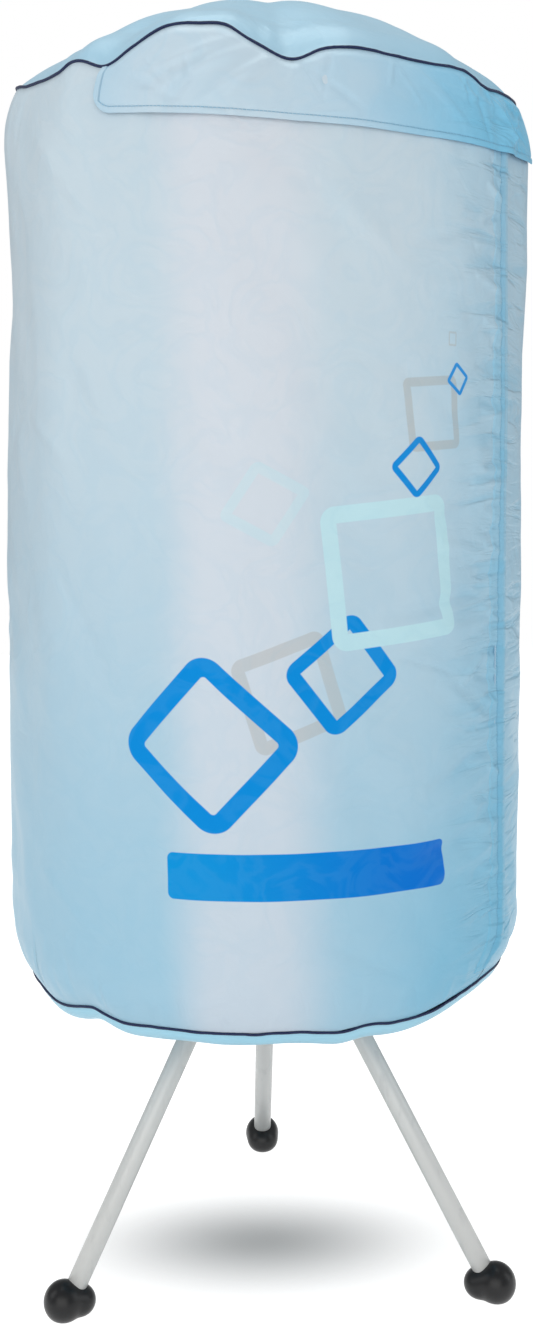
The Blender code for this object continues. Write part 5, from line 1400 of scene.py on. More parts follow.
@dataclass
class ClothCover:
    """The cloth cover: crown, front with its door, rear, flap, placket, underside and trims."""

    shape: CoverShape
    palette: Palette
    front_grid: tuple[int, int] = (310, 300)
    rear_grid: tuple[int, int] = (230, 380)
    crown_grid: tuple[int, int] = (90, 480)
    crown_pulls: int = 60
    front_left: float = -60.0
    zip_gap: float = 0.22
    pucker_line: float = 57.8
    door_top: float = 1.300
    door_edge: float = -32.4
    door_step: float = 2.2
    blend_edges: Pair = (-40.0, -36.0)
    strip_edges: Pair = (-38.3, 59.6)
    strip_foot: float = 1.286
    strip_depth: float = 0.0016
    flap_left: float = -33.0
    flap_right: float = 75.0
    flap_corner: float = 0.0200
    flap_lowest: float = 30.0
    flap_rows: int = 60
    flap_thickness: float = 0.0010
    flap_pulls: int = 22
    flap_pull_top: float = 1.318
    placket_left: float = 53.4
    placket_right: float = 59.9
    placket_seam: float = 57.2
    placket_head: float = 1.282
    placket_foot: float = 0.400
    placket_free: float = 56.9
    placket_groove: float = 57.3
    stitch_inset: float = 0.0062
    piping_radius: float = 0.0015
    elastic_radius: float = 0.0028

    def front_creases(self) -> list[Crease]:
        """Folds of the front: puckers along the zip, long slack lines, pulls at the low seam.

        Returns:
            The creases, the same ones each time.
        """
        spread = np.random.default_rng(5)
        creases = []
        height = 0.46
        while height < 1.235:
            reach, tilt = spread.uniform(4.0, 12.0), spread.uniform(-0.014, 0.016)
            sign = spread.choice(SIGNS)
            width, depth = spread.uniform(0.0026, 0.0055), spread.uniform(0.0016, 0.0036)
            end = (self.pucker_line - reach, height + tilt)
            creases.append(Crease((self.pucker_line, height), end, width, sign * depth))
            height += spread.uniform(0.010, 0.024)
        for start, end, width, depth in FRONT_LINES:
            creases.append(Crease(start, end, width, depth * FRONT_LINE_DEPTH))
        for azimuth in np.arange(-58, 58, 6.5):
            place = float(azimuth + spread.uniform(-2, 2))
            low = float(self.shape.low_seam(np.array(place)))
            end = (place + spread.uniform(-3, 3), low + spread.uniform(0.025, 0.060))
            width = spread.uniform(0.0030, 0.0060)
            depth = spread.choice(SIGNS) * spread.uniform(0.0006, 0.0014)
            creases.append(Crease((place, low + 0.002), end, width, depth))
        return creases

    def rear_creases(self) -> list[Crease]:
        """Folds of the rear: pulls at both seams and long slanting slack lines.

        Returns:
            The creases, the same ones each time.
        """
        spread = np.random.default_rng(9)
        creases = []
        for azimuth in np.arange(66, 298, 7.0):
            place = float(azimuth + spread.uniform(-2.5, 2.5))
            low = float(self.shape.low_seam(np.array(place)))
            top = float(self.shape.top_seam(np.array(place)))
            sign = spread.choice(SIGNS)
            end = (place + spread.uniform(-3, 3), low + spread.uniform(0.03, 0.07))
            creases.append(Crease((place, low + 0.002), end, 0.0045, sign * 0.0011))
            end = (place + spread.uniform(-4, 8), top - spread.uniform(0.04, 0.10))
            creases.append(Crease((place + 2, top - 0.004), end, 0.0060, -sign * 0.0013))
        for _ in range(26):
            place, level = spread.uniform(66, 290), spread.uniform(0.5, 1.2)
            reach, drop = spread.uniform(10, 26), spread.uniform(-0.12, 0.12)
            width, sign = spread.uniform(0.008, 0.014), spread.choice(SIGNS)
            creases.append(
                Crease((place, level), (place + reach, level + drop), width, sign * 0.0012)
            )
        return creases

    def wall_points(self, azimuth: Array, height: Array, creases: Sequence[Crease]) -> Array:
        """Points of the wall with its slack and creases, which lie flat along the zip.

        Args:
            azimuth: Azimuth of each point, in degrees.
            height: Height of each point.
            creases: The folds in this stretch of cloth.

        Returns:
            The points.
        """
        shape = self.shape
        loose = 1 - beside(azimuth, shape.zip_line(height), 1.5)
        slack = shape.undulation(azimuth, height) + folded(azimuth, height, shape.radius, creases)
        return around(azimuth, shape.wall_radius(azimuth, height) + slack * loose, height)

    def length_map(self, azimuth: Array, value: Array) -> Array:
        """A UV map of the length round the cloth, in metres, and another value."""
        return np.stack([np.radians(azimuth) * self.shape.radius, value], -1)

    def wall_cloth(
        self, name: str, azimuth: Array, height: Array, creases: Sequence[Crease]
    ) -> bpy.types.Object:
        """Makes a stretch of wall from a grid with one column too many at each side.

        The outer columns give the edges the same normals as the cloth beside them.

        Args:
            name: Name of the new object.
            azimuth: Azimuth of each point, in degrees.
            height: Height of each point.
            creases: The folds in this stretch of cloth.

        Returns:
            The new object.
        """
        points = self.wall_points(azimuth, height, creases)
        normals = grid_normals(points, COVER_MIDDLE)
        maps = {"cloth": self.length_map(azimuth, height)[:, 1:-1]}
        return surface(
            name, points[:, 1:-1], maps=maps, inside=COVER_MIDDLE, normals=normals[:, 1:-1]
        )

    @staticmethod
    def wall_shares(grid: tuple[int, int]) -> tuple[Array, Array]:
        """Shares down and across a stretch of wall.

        Args:
            grid: Number of rows and columns.

        Returns:
            The rows' shares from 0 to 1, and the columns' with one more at each side.
        """
        rows, columns = grid
        across = np.linspace(0, 1, columns)
        step = across[1] - across[0]
        across = np.concatenate([[-step], across, [1 + step]])
        return np.linspace(0, 1, rows)[:, None], across[None, :]

    def build_front(self) -> None:
        """The printed front, whose top steps down to the door's top right of the door's edge."""
        shape = self.shape
        down, across = self.wall_shares(self.front_grid)
        guess = self.front_left + across * (shape.zip_azimuth - self.front_left)
        door = eased((guess - self.door_edge) / self.door_step)
        top = (shape.top_seam(guess) - 0.0012) * (1 - door) + self.door_top * door
        height = top + (shape.low_seam(guess) - top) * down
        right = shape.zip_line(height) - self.zip_gap
        azimuth = self.front_left + across * (right - self.front_left)
        made = self.wall_cloth("cover_front", azimuth, height, self.front_creases())
        made.data.materials.append(self.palette.cloths["front"])
        level = np.array(COVER_MIDDLE[2])
        start, end = (around(np.array(a), shape.radius, level) for a in self.blend_edges)
        tuple(start)
        tuple(end)
        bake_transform(made)
        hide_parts("door_panel")

    def build_rear(self) -> None:
        """The rear of the wall, from the zip round to the front's left edge."""
        shape = self.shape
        down, across = self.wall_shares(self.rear_grid)
        far = self.front_left + TURN
        guess = shape.zip_azimuth + across * (far - shape.zip_azimuth)
        top = shape.top_seam(guess)
        height = top + (shape.low_seam(guess) - top) * down
        left = shape.zip_line(height) + self.zip_gap
        azimuth = left + across * (far - left)
        made = self.wall_cloth("cover_rear", azimuth, height, self.rear_creases())
        self.sew(made, "plain", Body.STAND, "cover_side_wall")

    def sew(
        self, made: bpy.types.Object, cloth: str, body: Body, node: Optional[str] = None
    ) -> None:
        """Settles a piece of satin on its body."""
        settle(made, self.palette.cloths[cloth], body.value, "satin_cloth", node)

    def build_head_strip(self) -> None:
        """The narrow strip above the door, under the flap, which stays on the stand."""
        azimuth = np.linspace(*self.strip_edges, 200)[None, :]
        top = self.shape.top_seam(azimuth)
        height = top + (self.strip_foot - top) * np.linspace(0, 1, 12)[:, None]
        radius = self.shape.wall_radius(azimuth, height) - self.strip_depth
        azimuth, height = np.broadcast_arrays(azimuth, height)
        points = around(azimuth, radius, height)
        maps = {"cloth": self.length_map(azimuth, height)}
        made = surface("cover_head_strip", points, maps=maps, inside=COVER_TOP_MIDDLE)
        self.sew(made, "plain", Body.STAND)

    def build_crown(self) -> None:
        """The domed crown over the arms, with 60 small pulls in from its seam."""
        rows, columns = self.crown_grid
        share = np.linspace(0, 1, rows)[:, None]
        azimuth = np.linspace(0, TURN, columns, endpoint=False)[None, :]
        points = self.shape.crown(azimuth, share)
        spread = np.random.default_rng(17)
        for _ in range(self.crown_pulls):
            place = spread.uniform(0, TURN)
            reach, width = spread.uniform(0.10, 0.42), spread.uniform(0.9, 2.0)
            near = np.clip((share - 1 + reach) / reach, 0, 1)
            pull = spread.choice([-0.5, 1.0]) * spread.uniform(0.0005, 0.0014)
            line = bell(wrapped(azimuth - place) * share, width)
            points[..., 2] += pull * line * near * eased((1 - share) / 0.03)
        maps = {"cloth": np.concatenate([points, points[:, :1]], axis=1)[..., :2]}
        made = surface(
            "cover_crown", points, wrap=True, poles=(True, False), maps=maps, inside=(0, 0, 1.0)
        )
        self.sew(made, "crown", Body.STAND, "cover_top_panel")

    def flap_low(self, azimuth: Array) -> Array:
        """Height of the flap's lower edge, which is lowest at one place.

        Args:
            azimuth: Azimuth of each point, in degrees.

        Returns:
            The height, rising by powers 1.6 and 2 of the way to the left and right ends.
        """
        left = np.clip((self.flap_lowest - azimuth) / 63, 0, None) ** 1.6
        right = np.clip((azimuth - self.flap_lowest) / 45, 0, None) ** 2
        return 1.248 + 0.026 * left + 0.010 * right

    def flap_creases(self) -> list[Crease]:
        """Folds of the flap: its own lines and 22 small pulls down from its seam.

        Returns:
            The creases.
        """
        spread = np.random.default_rng(13)
        creases = [Crease(*line) for line in FLAP_LINES]
        top = self.flap_pull_top
        for _ in range(self.flap_pulls):
            place = spread.uniform(-30, 73)
            end = (place + spread.uniform(-7, 7), top - spread.uniform(0.015, 0.05))
            creases.append(Crease((place, top), end, 0.0030, spread.uniform(-0.0012, 0.0012)))
        return creases

    def build_flap(self) -> None:
        """The storm flap: sewn in the top seam, with a turned and stitched hem."""
        shape, corner = self.shape, self.flap_corner
        near = self.flap_left + np.linspace(0, 1, 28) ** 2 * 4.5
        far = np.linspace(near[-1], self.flap_right, 330)[1:]
        azimuth = np.concatenate([near, far])[None, :]
        from_left = np.radians(azimuth - self.flap_left) * shape.radius
        inset = np.clip(corner - from_left, 0, corner)
        low = self.flap_low(azimuth) + corner - np.sqrt(np.maximum(corner**2 - inset**2, 0))
        top = shape.top_seam(azimuth) - 0.0008
        height = top + (low - top) * np.linspace(0, 1, self.flap_rows)[:, None]
        azimuth, height = np.broadcast_arrays(azimuth, height)
        edge = np.minimum(height - low, from_left)
        below = top - height
        hem = eased((0.0066 - edge) / 0.0012) * 0.0009 - 0.0006 * bell(edge - 0.0064, 0.0011)
        pucker = noise(around(azimuth, shape.radius, height * 0.4), 0.011, 41)
        pucker = pucker * 0.0007 * bell(edge - 0.006, 0.008)
        over_zip = eased(1 - abs(azimuth - shape.zip_azimuth) / 5.0) * eased(below / 0.020)
        slack = noise(around(azimuth, shape.radius, height), 0.045, 43)
        slack = slack * 0.0020 * eased(below / 0.02)
        lift = 0.0006 + 0.0026 * eased(below / 0.010) + 0.0010 * eased(below / 0.05)
        lift = lift + 0.0036 * over_zip + hem + pucker + slack * 0.8
        radius = shape.wall_radius(azimuth, height) + lift
        folds = folded(azimuth, height, shape.radius, self.flap_creases())
        radius += FLAP_LINE_DEPTH * folds * eased(below / 0.012)
        values = {"cloth": height, "edge": edge}
        maps = {name: self.length_map(azimuth, value) for name, value in values.items()}
        points = around(azimuth, radius, height)
        made = surface("cover_flap", points, maps=maps, inside=COVER_TOP_MIDDLE)
        thicken(made, "double_cloth", self.flap_thickness)
        self.sew(made, "flap", Body.DOOR, "storm_flap")

    def build_placket(self) -> None:
        """The strip that covers the zip, stitched down along its left side."""
        shape = self.shape
        height = np.linspace(self.placket_head, self.placket_foot, 420)[:, None]
        across = np.linspace(0, 1, 26)[None, :]
        swing = shape.zip_line(height) - shape.zip_azimuth
        azimuth = self.placket_left + swing + across * (self.placket_right - self.placket_left)
        azimuth, height = np.broadcast_arrays(azimuth, height)
        angle = azimuth - swing
        free = eased((angle - self.placket_free) / 1.4)
        foot = eased((height - 0.405) / 0.02)
        place = around(azimuth, shape.radius, height)
        pucker = noise(place, 0.0085, 51) * 0.0006 * bell(angle - 57.0, 1.6)
        sway = noise(place * np.array([0.3, 0.3, 1.0]), 0.050, 53) * 0.0007 * free
        groove = -0.0006 * bell(angle - self.placket_groove, 0.22)
        edge = eased((angle - 59.5) / 0.3) * -0.0012
        tucked = -0.0030 * eased(1 - (angle - self.placket_left) / 1.2)
        lift = 0.0010 + 0.0034 * free * foot + pucker + sway + groove + edge + tucked
        under = self.wall_points(azimuth, height, self.front_creases())
        points = under + outward(azimuth) * lift[..., None]
        from_seam = np.radians(angle - self.placket_seam) * shape.radius
        maps = {
            "cloth": self.length_map(azimuth, height),
            "edge": np.stack([height, from_seam + self.stitch_inset], -1),
        }
        made = surface("cover_placket", points, maps=maps, inside=COVER_MIDDLE)
        self.sew(made, "placket", Body.DOOR)

    def build_underside(self) -> None:
        """The gathered underside, from the low seam to the elastic hem."""
        share = np.linspace(0, 1, 60)[:, None]
        azimuth = np.linspace(0, TURN, 721)[None, :]
        points = self.shape.underside(azimuth[:, :-1], share)
        uv = np.broadcast_arrays(np.radians(azimuth) * 0.21, share * 0.13)
        maps = {"cloth": np.stack(uv, -1)}
        made = surface("cover_underside", points, wrap=True, maps=maps, inside=(0, 0, 0.9))
        self.sew(made, "low", Body.STAND, "cover_bottom_panel")

    def build_trims(self) -> None:
        """The navy piping in both seams and the elastic in the hem."""
        shape = self.shape
        azimuth = np.linspace(0, TURN, 900, endpoint=False)
        uneven = noise(around(azimuth, shape.radius, 0.0), 0.016, 61) * 0.0006
        ripple = noise(around(azimuth, shape.hem_radius, 0.0), 0.009, 63) * 0.0012
        trims = []
        for end, level in (("top", shape.top_seam(azimuth)), ("bottom", shape.low_seam(azimuth))):
            path = around(azimuth, shape.wall_radius(azimuth, level) + 0.0012, level + uneven)
            name = f"piping_{end}"
            trims.append((f"{name}_cord", path, self.piping_radius, "navy_piping", name))
        level = shape.hem_height + 0.0012 + ripple
        path = around(azimuth, shape.hem_radius + 0.0004 + ripple, level)
        trims.append(("hem_elastic_band", path, self.elastic_radius, "hem_elastic", "hem_elastic"))
        for name, path, radius, slot, node in trims:
            made = closed_cord(name, path, outward(azimuth), radius)
            settle(made, self.palette.by_slot[slot], Body.STAND.value, slot, node)

    def build(self) -> None:
        """Builds and dresses the whole cover."""
        self.build_rear()
        self.build_front()
        self.build_head_strip()
        self.build_crown()
        self.build_flap()
        self.build_placket()
        self.build_underside()
        self.build_trims()
        LOG.info("cloth cover built")


# Copies of CAD nodes.


@dataclass(frozen=True)
class NodeDress:
    """How one CAD node is finished: its slot, which names its finish, and its edge rounding."""

    node: str
    slot: str
    bevel: float = 0.0

    def build(self, palette: Palette) -> None:
        """Puts a merged, smoothly shaded copy in the node's place, on the node's own body.

        Args:
            palette: The dryer's finishes.
        """
        source = frame["nodes"][self.node]
        mesh = source.data.copy()
        mesh.materials.clear()
        shape = bmesh.new()
        shape.from_mesh(mesh)
        bmesh.ops.remove_doubles(shape, verts=shape.verts, dist=MERGE_DISTANCE)
        bmesh.ops.dissolve_limit(
            shape, angle_limit=FLAT_ANGLE, verts=shape.verts, edges=shape.edges
        )
        for face in shape.faces:
            face.smooth = True
        for edge in shape.edges:
            edge.smooth = edge.calc_face_angle(0.0) < SMOOTH_ANGLE
        shape.to_mesh(mesh)
        shape.free()
        made = linked(f"dressed_{self.node}", mesh)
        if self.bevel > 0:
            bevel = made.modifiers.new("rounded_edges", "BEVEL")
            bevel.width = self.bevel
            bevel.segments = BEVEL_SEGMENTS
            bevel.limit_method = "ANGLE"
            bevel.angle_limit = BEVEL_ANGLE
            bevel.harden_normals = True
        settle(made, palette.by_slot[self.slot], source["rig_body"], self.slot, self.node)


SLIDER_DRESS = (NodeDress("zip_slider", "zip_slider", 0.0003),)

HEATER_DRESS = (
    NodeDress("tripod_hub", "dark_plastic", 0.0006),
    NodeDress("heater_base", "white_plastic", 0.0005),
    NodeDress("heater_top", "white_plastic", 0.0005),
    NodeDress("motor_mount", "plated_steel"),
    NodeDress("fan_motor", "plated_steel", 0.0005),
    NodeDress("fan_impeller", "white_plastic"),
    NodeDress("fan_cap", "dark_plastic", 0.0004),
    NodeDress("air_duct", "dark_plastic"),
    NodeDress("heater_tray", "plated_steel"),
    NodeDress("heating_element", "heater_fins"),
    NodeDress("thermal_cutout", "dark_plastic", 0.0003),
    NodeDress("control_panel", "dark_plastic", 0.0008),
    NodeDress("timer_unit", "dark_plastic", 0.0003),
    NodeDress("timer_knob", "white_plastic", 0.0006),
    NodeDress("power_switch", "dark_plastic", 0.0003),
    NodeDress("power_button", "white_plastic", 0.0006),
    NodeDress("cord_gland", "dark_plastic", 0.0005),
)

HANGER_DRESS = (
    NodeDress("pole_lower", "painted_steel_tube", 0.0003),
    NodeDress("pole_upper", "painted_steel_tube", 0.0003),
    NodeDress("pole_ferrule", "dark_plastic", 0.0004),
    NodeDress("hanger_head", "dark_plastic", 0.0005),
    NodeDress("hinge_wire", "plated_steel"),
    NodeDress("head_cap", "dark_plastic", 0.0004),
    *(NodeDress(f"hanging_arm_{arm + 1:02d}", "arm_plastic", 0.0005) for arm in range(ARM_COUNT)),
)


@dataclass
class DressedNodes:
    """A sub-assembly whose solids already have their form: the heater, or the hanger stand."""

    palette: Palette
    name: str
    items: tuple[NodeDress, ...]

    def build(self) -> None:
        """Dresses every node of the sub-assembly."""
        for item in self.items:
            item.build(self.palette)
        LOG.info("%s dressed", self.name)


@dataclass
class Zip:
    """The zip under the placket: two tapes, two rows of teeth and the slider."""

    shape: CoverShape
    palette: Palette
    foot: float = 0.440
    head: float = 1.290
    pitch: float = 0.0024
    end_gap: float = 0.004
    tape_width: float = 0.0115
    tape_start: float = 0.0011
    tape_depth: float = 0.0016
    tape_thickness: float = 0.0007
    tooth_place: float = 0.0009
    tooth_depth: float = 0.0012
    tooth_size: tuple[float, float, float] = (0.0030, 0.0019, 0.0013)
    tooth_cut: float = 0.0004

    def build_tape(self, side: int, body: Body, node: str) -> None:
        """One tape.

        Args:
            side: -1 for the door's side, 1 for the wall's.
            body: What the tape is sewn to.
            node: The CAD node that it stands for.
        """
        degree = math.degrees(1 / self.shape.radius)
        height = np.linspace(self.foot, self.head, 160)[:, None]
        across = np.linspace(self.tape_start, self.tape_width, 8)[None, :]
        azimuth = self.shape.zip_azimuth + side * across * degree
        azimuth, height = np.broadcast_arrays(azimuth, height)
        radius = self.shape.wall_radius(azimuth, height) - self.tape_depth
        points = around(azimuth, radius, height)
        maps = {"along": np.stack(np.broadcast_arrays(height, across), -1)}
        tape = surface(f"zip_tape_{body.value}_weave", points, maps=maps, inside=COVER_MIDDLE)
        thicken(tape, "tape_thickness", self.tape_thickness)
        settle(tape, self.palette.by_slot["zip_tape"], body.value, "zip_tape", node)

    def build_teeth(self, side: int, body: Body) -> None:
        """One row of teeth, half a pitch higher on the wall's side.

        Args:
            side: -1 for the door's side, 1 for the wall's.
            body: What the teeth ride on.
        """
        levels = np.arange(self.foot + self.end_gap, self.head - self.end_gap, self.pitch)
        levels = levels + (self.pitch / 2 if side > 0 else 0)
        degree = math.degrees(1 / self.shape.radius)
        middle = np.full(len(levels), self.shape.zip_azimuth + side * self.tooth_place * degree)
        radius = self.shape.wall_radius(middle, levels) - self.tooth_depth
        away = outward(middle)
        up = np.tile([0.0, 0.0, 1.0], (len(levels), 1))
        frames = np.stack([np.cross(up, away), away, up], axis=1)
        block, faces = chamfered_block(self.tooth_size, self.tooth_cut)
        centres = around(middle, radius, levels)
        teeth = repeated(f"zip_teeth_{body.value}", block, faces, centres, frames)
        settle(teeth, self.palette.teeth, body.value, "zip_tape")

    def build(self) -> None:
        """Builds both sides and dresses the slider."""
        sides = ((-1, Body.DOOR, "zip_tape_door"), (1, Body.STAND, "zip_tape_wall"))
        for side, body, node in sides:
            self.build_tape(side, body, node)
            self.build_teeth(side, body)
        DressedNodes(self.palette, "zip slider", SLIDER_DRESS).build()


# The legs.


@dataclass
class Legs:
    """Three folding legs: coated tubes, knuckles and rubber boots."""

    palette: Palette
    splay: float = 30.5
    pivot_radius: float = 0.064
    pivot_height: float = 0.376
    tube_radius: float = 0.0115
    tube_wall: float = 0.0012
    start: float = 0.022
    end_height: float = 0.021
    boot_centre: Pair = (0.272, 0.019)
    sole: float = 0.0189
    floor_gap: float = 0.0002
    lobe_power: int = 10
    floor_power: int = 14

    def build_tube(self, name: str, azimuth: float) -> None:
        """One tube, open at both ends, with rounded rims.

        Args:
            name: Which leg it is.
            azimuth: Where the leg points.
        """
        away = Vector(outward(np.array(azimuth)))
        pivot = away * self.pivot_radius + Vector((0, 0, self.pivot_height))
        tilt = math.radians(self.splay)
        down = away * math.sin(tilt) - Vector((0, 0, math.cos(tilt)))
        length = (self.pivot_height - self.end_height) / math.cos(tilt)
        outer, inner, edge = self.tube_radius, self.tube_radius - self.tube_wall, self.tube_wall / 3
        rim = [(inner, edge), (inner + edge, 0), (outer - edge, 0), (outer, edge)]
        profile = [(radius, self.start + up) for radius, up in rim]
        profile += [(radius, length - up) for radius, up in reversed(rim)]
        place = Matrix.Translation(pivot) @ down.to_track_quat("Z", "Y").to_matrix().to_4x4()
        made = turned_ring(f"leg_{name}_tube", np.array(profile + profile[:1]), place, 56)
        slot = "painted_steel_tube"
        settle(made, self.palette.by_slot[slot], f"leg_{name}", slot, f"leg_tube_{name}")

    def build_boot(self, name: str, azimuth: float, toe: float) -> None:
        """One rubber boot: a ball toe, a flat heel lobe and a low collar round the tube.

        The boot is a star-shaped skin about a point inside it. Along each direction its
        distance is a soft maximum (the tenth root of the sum of tenth powers) of the
        distances to three ellipsoids, cut by the floor with a soft minimum.

        Args:
            name: Which leg it is.
            azimuth: Where the leg points.
            toe: How far out the ball of the toe lies from the skin's inner point.
        """
        away = np.array(outward(np.array(azimuth)))
        side = np.array([-away[1], away[0], 0.0])
        up = np.array([0.0, 0.0, 1.0])
        centre = away * self.boot_centre[0] + up * self.boot_centre[1]
        polar = np.linspace(0, math.pi, 60)[:, None]
        turn = np.linspace(0, 2 * math.pi, 96, endpoint=False)[None, :]
        local = np.stack(
            np.broadcast_arrays(
                np.sin(polar) * np.cos(turn), np.sin(polar) * np.sin(turn), np.cos(polar)
            ),
            -1,
        )
        lobes = (
            ((toe, 0.0, 0.0020), (0.0222, 0.0225, 0.0236)),
            ((-0.0092, 0.0, -0.0020), (0.0190, 0.0205, 0.0178)),
            ((-0.0020, 0.0, 0.0040), (0.0150, 0.0185, 0.0140)),
        )
        reach = np.zeros(local.shape[:-1])
        for middle, size in lobes:
            offset = -np.array(middle) / size
            ray = local / size
            a = (ray**2).sum(-1)
            b = (ray * offset).sum(-1)
            c = (offset**2).sum() - 1
            reach += ((np.sqrt(np.maximum(b * b - a * c, 0)) - b) / a) ** self.lobe_power
        reach = reach ** (1 / self.lobe_power)
        fall = np.minimum(local[..., 2], -1e-3)
        floor = np.where(local[..., 2] < -1e-3, -self.sole / fall, 1.0)
        power = self.floor_power
        reach = (reach**-power + floor**-power) ** (-1 / power)
        world = local[..., :1] * away + local[..., 1:2] * side + local[..., 2:] * up
        points = centre + world * reach[..., None]
        points[..., 2] = np.maximum(points[..., 2], self.floor_gap)
        made = surface(f"leg_{name}_boot", points, wrap=True, poles=(True, True))
        slot = "black_rubber"
        settle(made, self.palette.by_slot[slot], f"leg_{name}", slot, f"leg_boot_{name}")

    def build(self) -> None:
        """Builds and dresses the three legs."""
        for name, azimuth, toe in LEG_PLACES:
            self.build_tube(name, azimuth)
            self.build_boot(name, azimuth, toe)
            NodeDress(f"leg_knuckle_{name}", "dark_plastic", 0.0006).build(self.palette)
            NodeDress(f"leg_pin_{name}", "plated_steel", 0.0003).build(self.palette)
        LOG.info("legs built")


# Studio and camera.


@dataclass(frozen=True)
class Softbox:
    """A rectangular soft lamp: its place, what it looks at, its size, its watts, its colour."""

    name: str
    place: tuple[float, float, float]
    aim: tuple[float, float, float]
    size: Pair
    power: float
    colour: Colour

    def build(self) -> None:
        """Hangs the lamp and turns it to its aim."""
        data = bpy.data.lights.new(self.name, "AREA")
        data.shape = "RECTANGLE"
        data.size, data.size_y = self.size
        data.energy = self.power
        data.color = self.colour
        lamp = linked(self.name, data)
        lamp.location = self.place
        look = Vector(self.aim) - Vector(self.place)
        lamp.rotation_euler = look.to_track_quat("-Z", "Y").to_euler()


SOFTBOXES = (
    Softbox(
        "front_softbox", (-0.42, -2.9, 1.10), (0, 0, 0.85), (3.6, 2.4), 42.0, (1.0, 0.985, 0.960)
    ),
    Softbox("top_softbox", (0, 0.2, 3.4), (0, 0, 0.6), (1.4, 1.4), 24.5, (1.0, 1.0, 0.98)),
    Softbox("left_softbox", (-2.8, -0.6, 1.9), (0, 0, 1.0), (1.2, 2.2), 12.5, (0.97, 0.99, 1.0)),
    Softbox("right_softbox", (2.8, -0.4, 1.3), (0, 0, 0.8), (1.2, 2.2), 12.0, (0.95, 0.98, 1.0)),
)


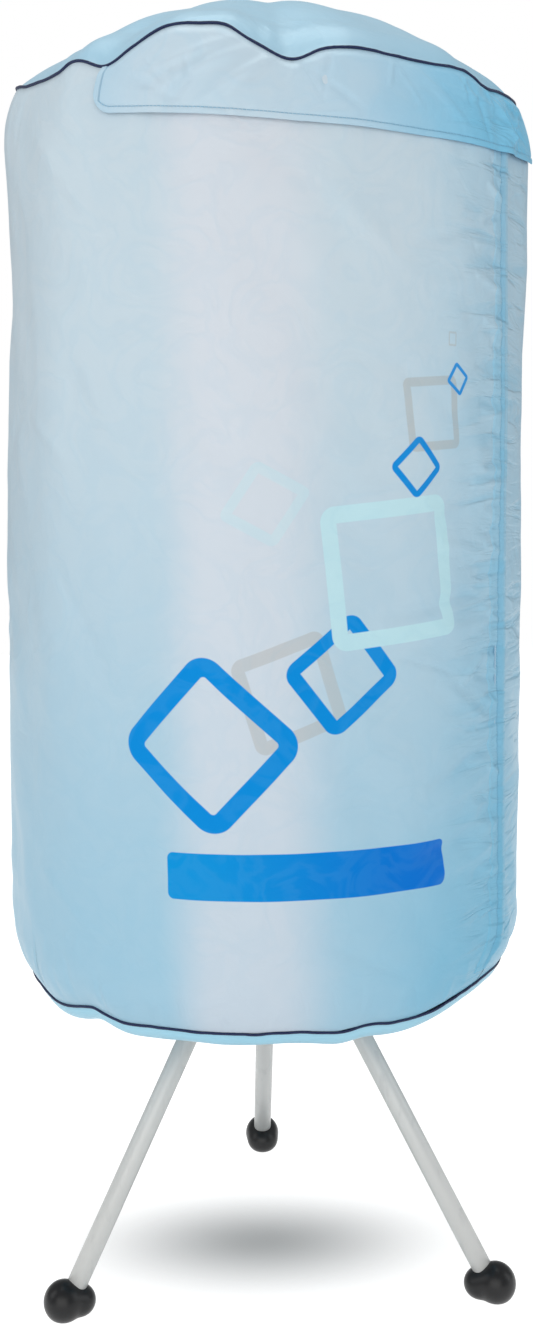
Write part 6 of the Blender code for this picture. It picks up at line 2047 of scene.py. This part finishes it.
@dataclass
class Studio:
    """A white floor, a white surround and large soft lamps."""

    floor_size: float = 14.0
    black: Colour = (0.0, 0.0, 0.0)
    white: Colour = (1.0, 1.0, 1.0)
    floor_colours: tuple[Colour, Colour] = ((0.90, 0.90, 0.90), (0.92, 0.92, 0.92))
    shadow_colour: Colour = (0.36, 0.355, 0.35)
    surround_light: Colour = (0.93, 0.965, 0.98)
    surround_strength: float = 0.445

    def floor_material(self) -> bpy.types.Material:
        """A pale floor; for the camera it glows white round a painted shadow, an ellipse under the
        dryer where the glow fades to black over the real shadow, and it is clear from below.

        Returns:
            The material.
        """
        graph = Graph("studio_floor", Roughness=0.9)
        place = graph.objects()
        x, y, _ = graph.split(place)
        graph.feed("Base Color", graph.mix(*self.floor_colours, graph.noise(place, 3.0, 2.0)))
        # Painted shadow: the glow that the camera sees fades to black in an ellipse under the
        # dryer.
        x = (x + 0.014) * 1.03
        y = (y - 0.012) * 1.9
        away = (x * x + y * y + 0.0036) ** 0.5
        white = graph.mix(self.black, self.white, away.ramp(-0.050, 0.350))
        glow_with_painted_shadow = graph.node("ShaderNodeEmission", {}, {"Color": white, "Strength": 1.0})
        soft = graph.node("ShaderNodeBsdfDiffuse", {}, {"Color": self.shadow_colour})
        both = graph.node("ShaderNodeAddShader", {}, {0: glow_with_painted_shadow, 1: soft})
        shows = graph.seen().most(graph.node("ShaderNodeLightPath", output="Is Glossy Ray"))
        chosen = graph.node("ShaderNodeMixShader", {}, {0: shows, 1: graph.surface, 2: both})
        below = graph.node("ShaderNodeNewGeometry", output="Backfacing")
        clear = graph.node("ShaderNodeBsdfTransparent", {}, {"Color": self.white})
        graph.show(graph.node("ShaderNodeMixShader", {}, {0: below, 1: chosen, 2: clear}))
        return graph.material

    def build_floor(self) -> None:
        """The floor."""
        span = np.linspace(-self.floor_size / 2, self.floor_size / 2, 3)
        x, y = np.meshgrid(span, span)
        points = np.stack([x, y, np.zeros_like(x)], -1)
        floor = surface("studio_floor", points, inside=(0, 0, -1))
        floor.data.materials.append(self.floor_material())

    def build_world(self) -> None:
        """A white surround that the camera sees, and a dimmer, cooler one that lights."""
        world = bpy.data.worlds.new("white_surround")
        bpy.context.scene.world = world
        nodes = Nodes(world)
        lit = {"Color": self.surround_light, "Strength": self.surround_strength}
        light = nodes.node("ShaderNodeBackground", {}, lit)
        white = nodes.node("ShaderNodeBackground", {}, {"Color": self.white, "Strength": 1.0})
        either = nodes.node("ShaderNodeMixShader", {}, {0: nodes.seen(), 1: light, 2: white})
        nodes.node("ShaderNodeOutputWorld", {}, {0: either}, None)

    def build(self) -> None:
        """Builds floor, surround and lamps."""
        self.build_floor()
        self.build_world()
        for softbox in SOFTBOXES:
            softbox.build()
        LOG.info("studio built")


@dataclass(frozen=True)
class PhotoCamera:
    """The camera at the photograph's place: distance, height, tilt, roll and focal length."""

    focal_pixels: float = 1456.0
    image_height: float = 1330.0
    sensor: float = 36.0
    near: float = 0.05
    distance: float = 1.6858
    height: float = 0.9051
    tilt: float = 0.113
    roll: float = -0.0134

    def build(self) -> None:
        """Makes the scene's camera."""
        data = bpy.data.cameras.new("photo_camera")
        data.sensor_fit = "AUTO"
        data.sensor_width = self.sensor
        data.lens = self.focal_pixels * self.sensor / self.image_height
        data.clip_start = self.near
        data.dof.use_dof = False
        camera = linked("photo_camera", data)
        look = Matrix.Rotation(math.pi / 2 - self.tilt, 4, "X") @ Matrix.Rotation(self.roll, 4, "Z")
        camera.matrix_world = Matrix.Translation((0, -self.distance, self.height)) @ look
        bpy.context.scene.camera = camera


def remove_start_objects() -> None:
    """Clears away what an empty file starts with."""
    for name in START_OBJECTS:
        found = bpy.data.objects.get(name)
        if found is not None and "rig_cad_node" not in found:
            bpy.data.objects.remove(found)


def main() -> None:
    """Builds the dryer piece by piece, then its studio and camera."""
    logging.basicConfig(level=logging.INFO, format="%(name)s: %(message)s")
    remove_start_objects()
    palette = Palette()
    shape = CoverShape()
    ClothCover(shape, palette).build()
    Zip(shape, palette).build()
    Legs(palette).build()
    DressedNodes(palette, "heater", HEATER_DRESS).build()
    DressedNodes(palette, "pole, head and arms", HANGER_DRESS).build()
    Studio().build()
    PhotoCamera().build()
    settings = bpy.context.scene.view_settings
    settings.view_transform = "Standard"


if __name__ == "__main__":
    main()
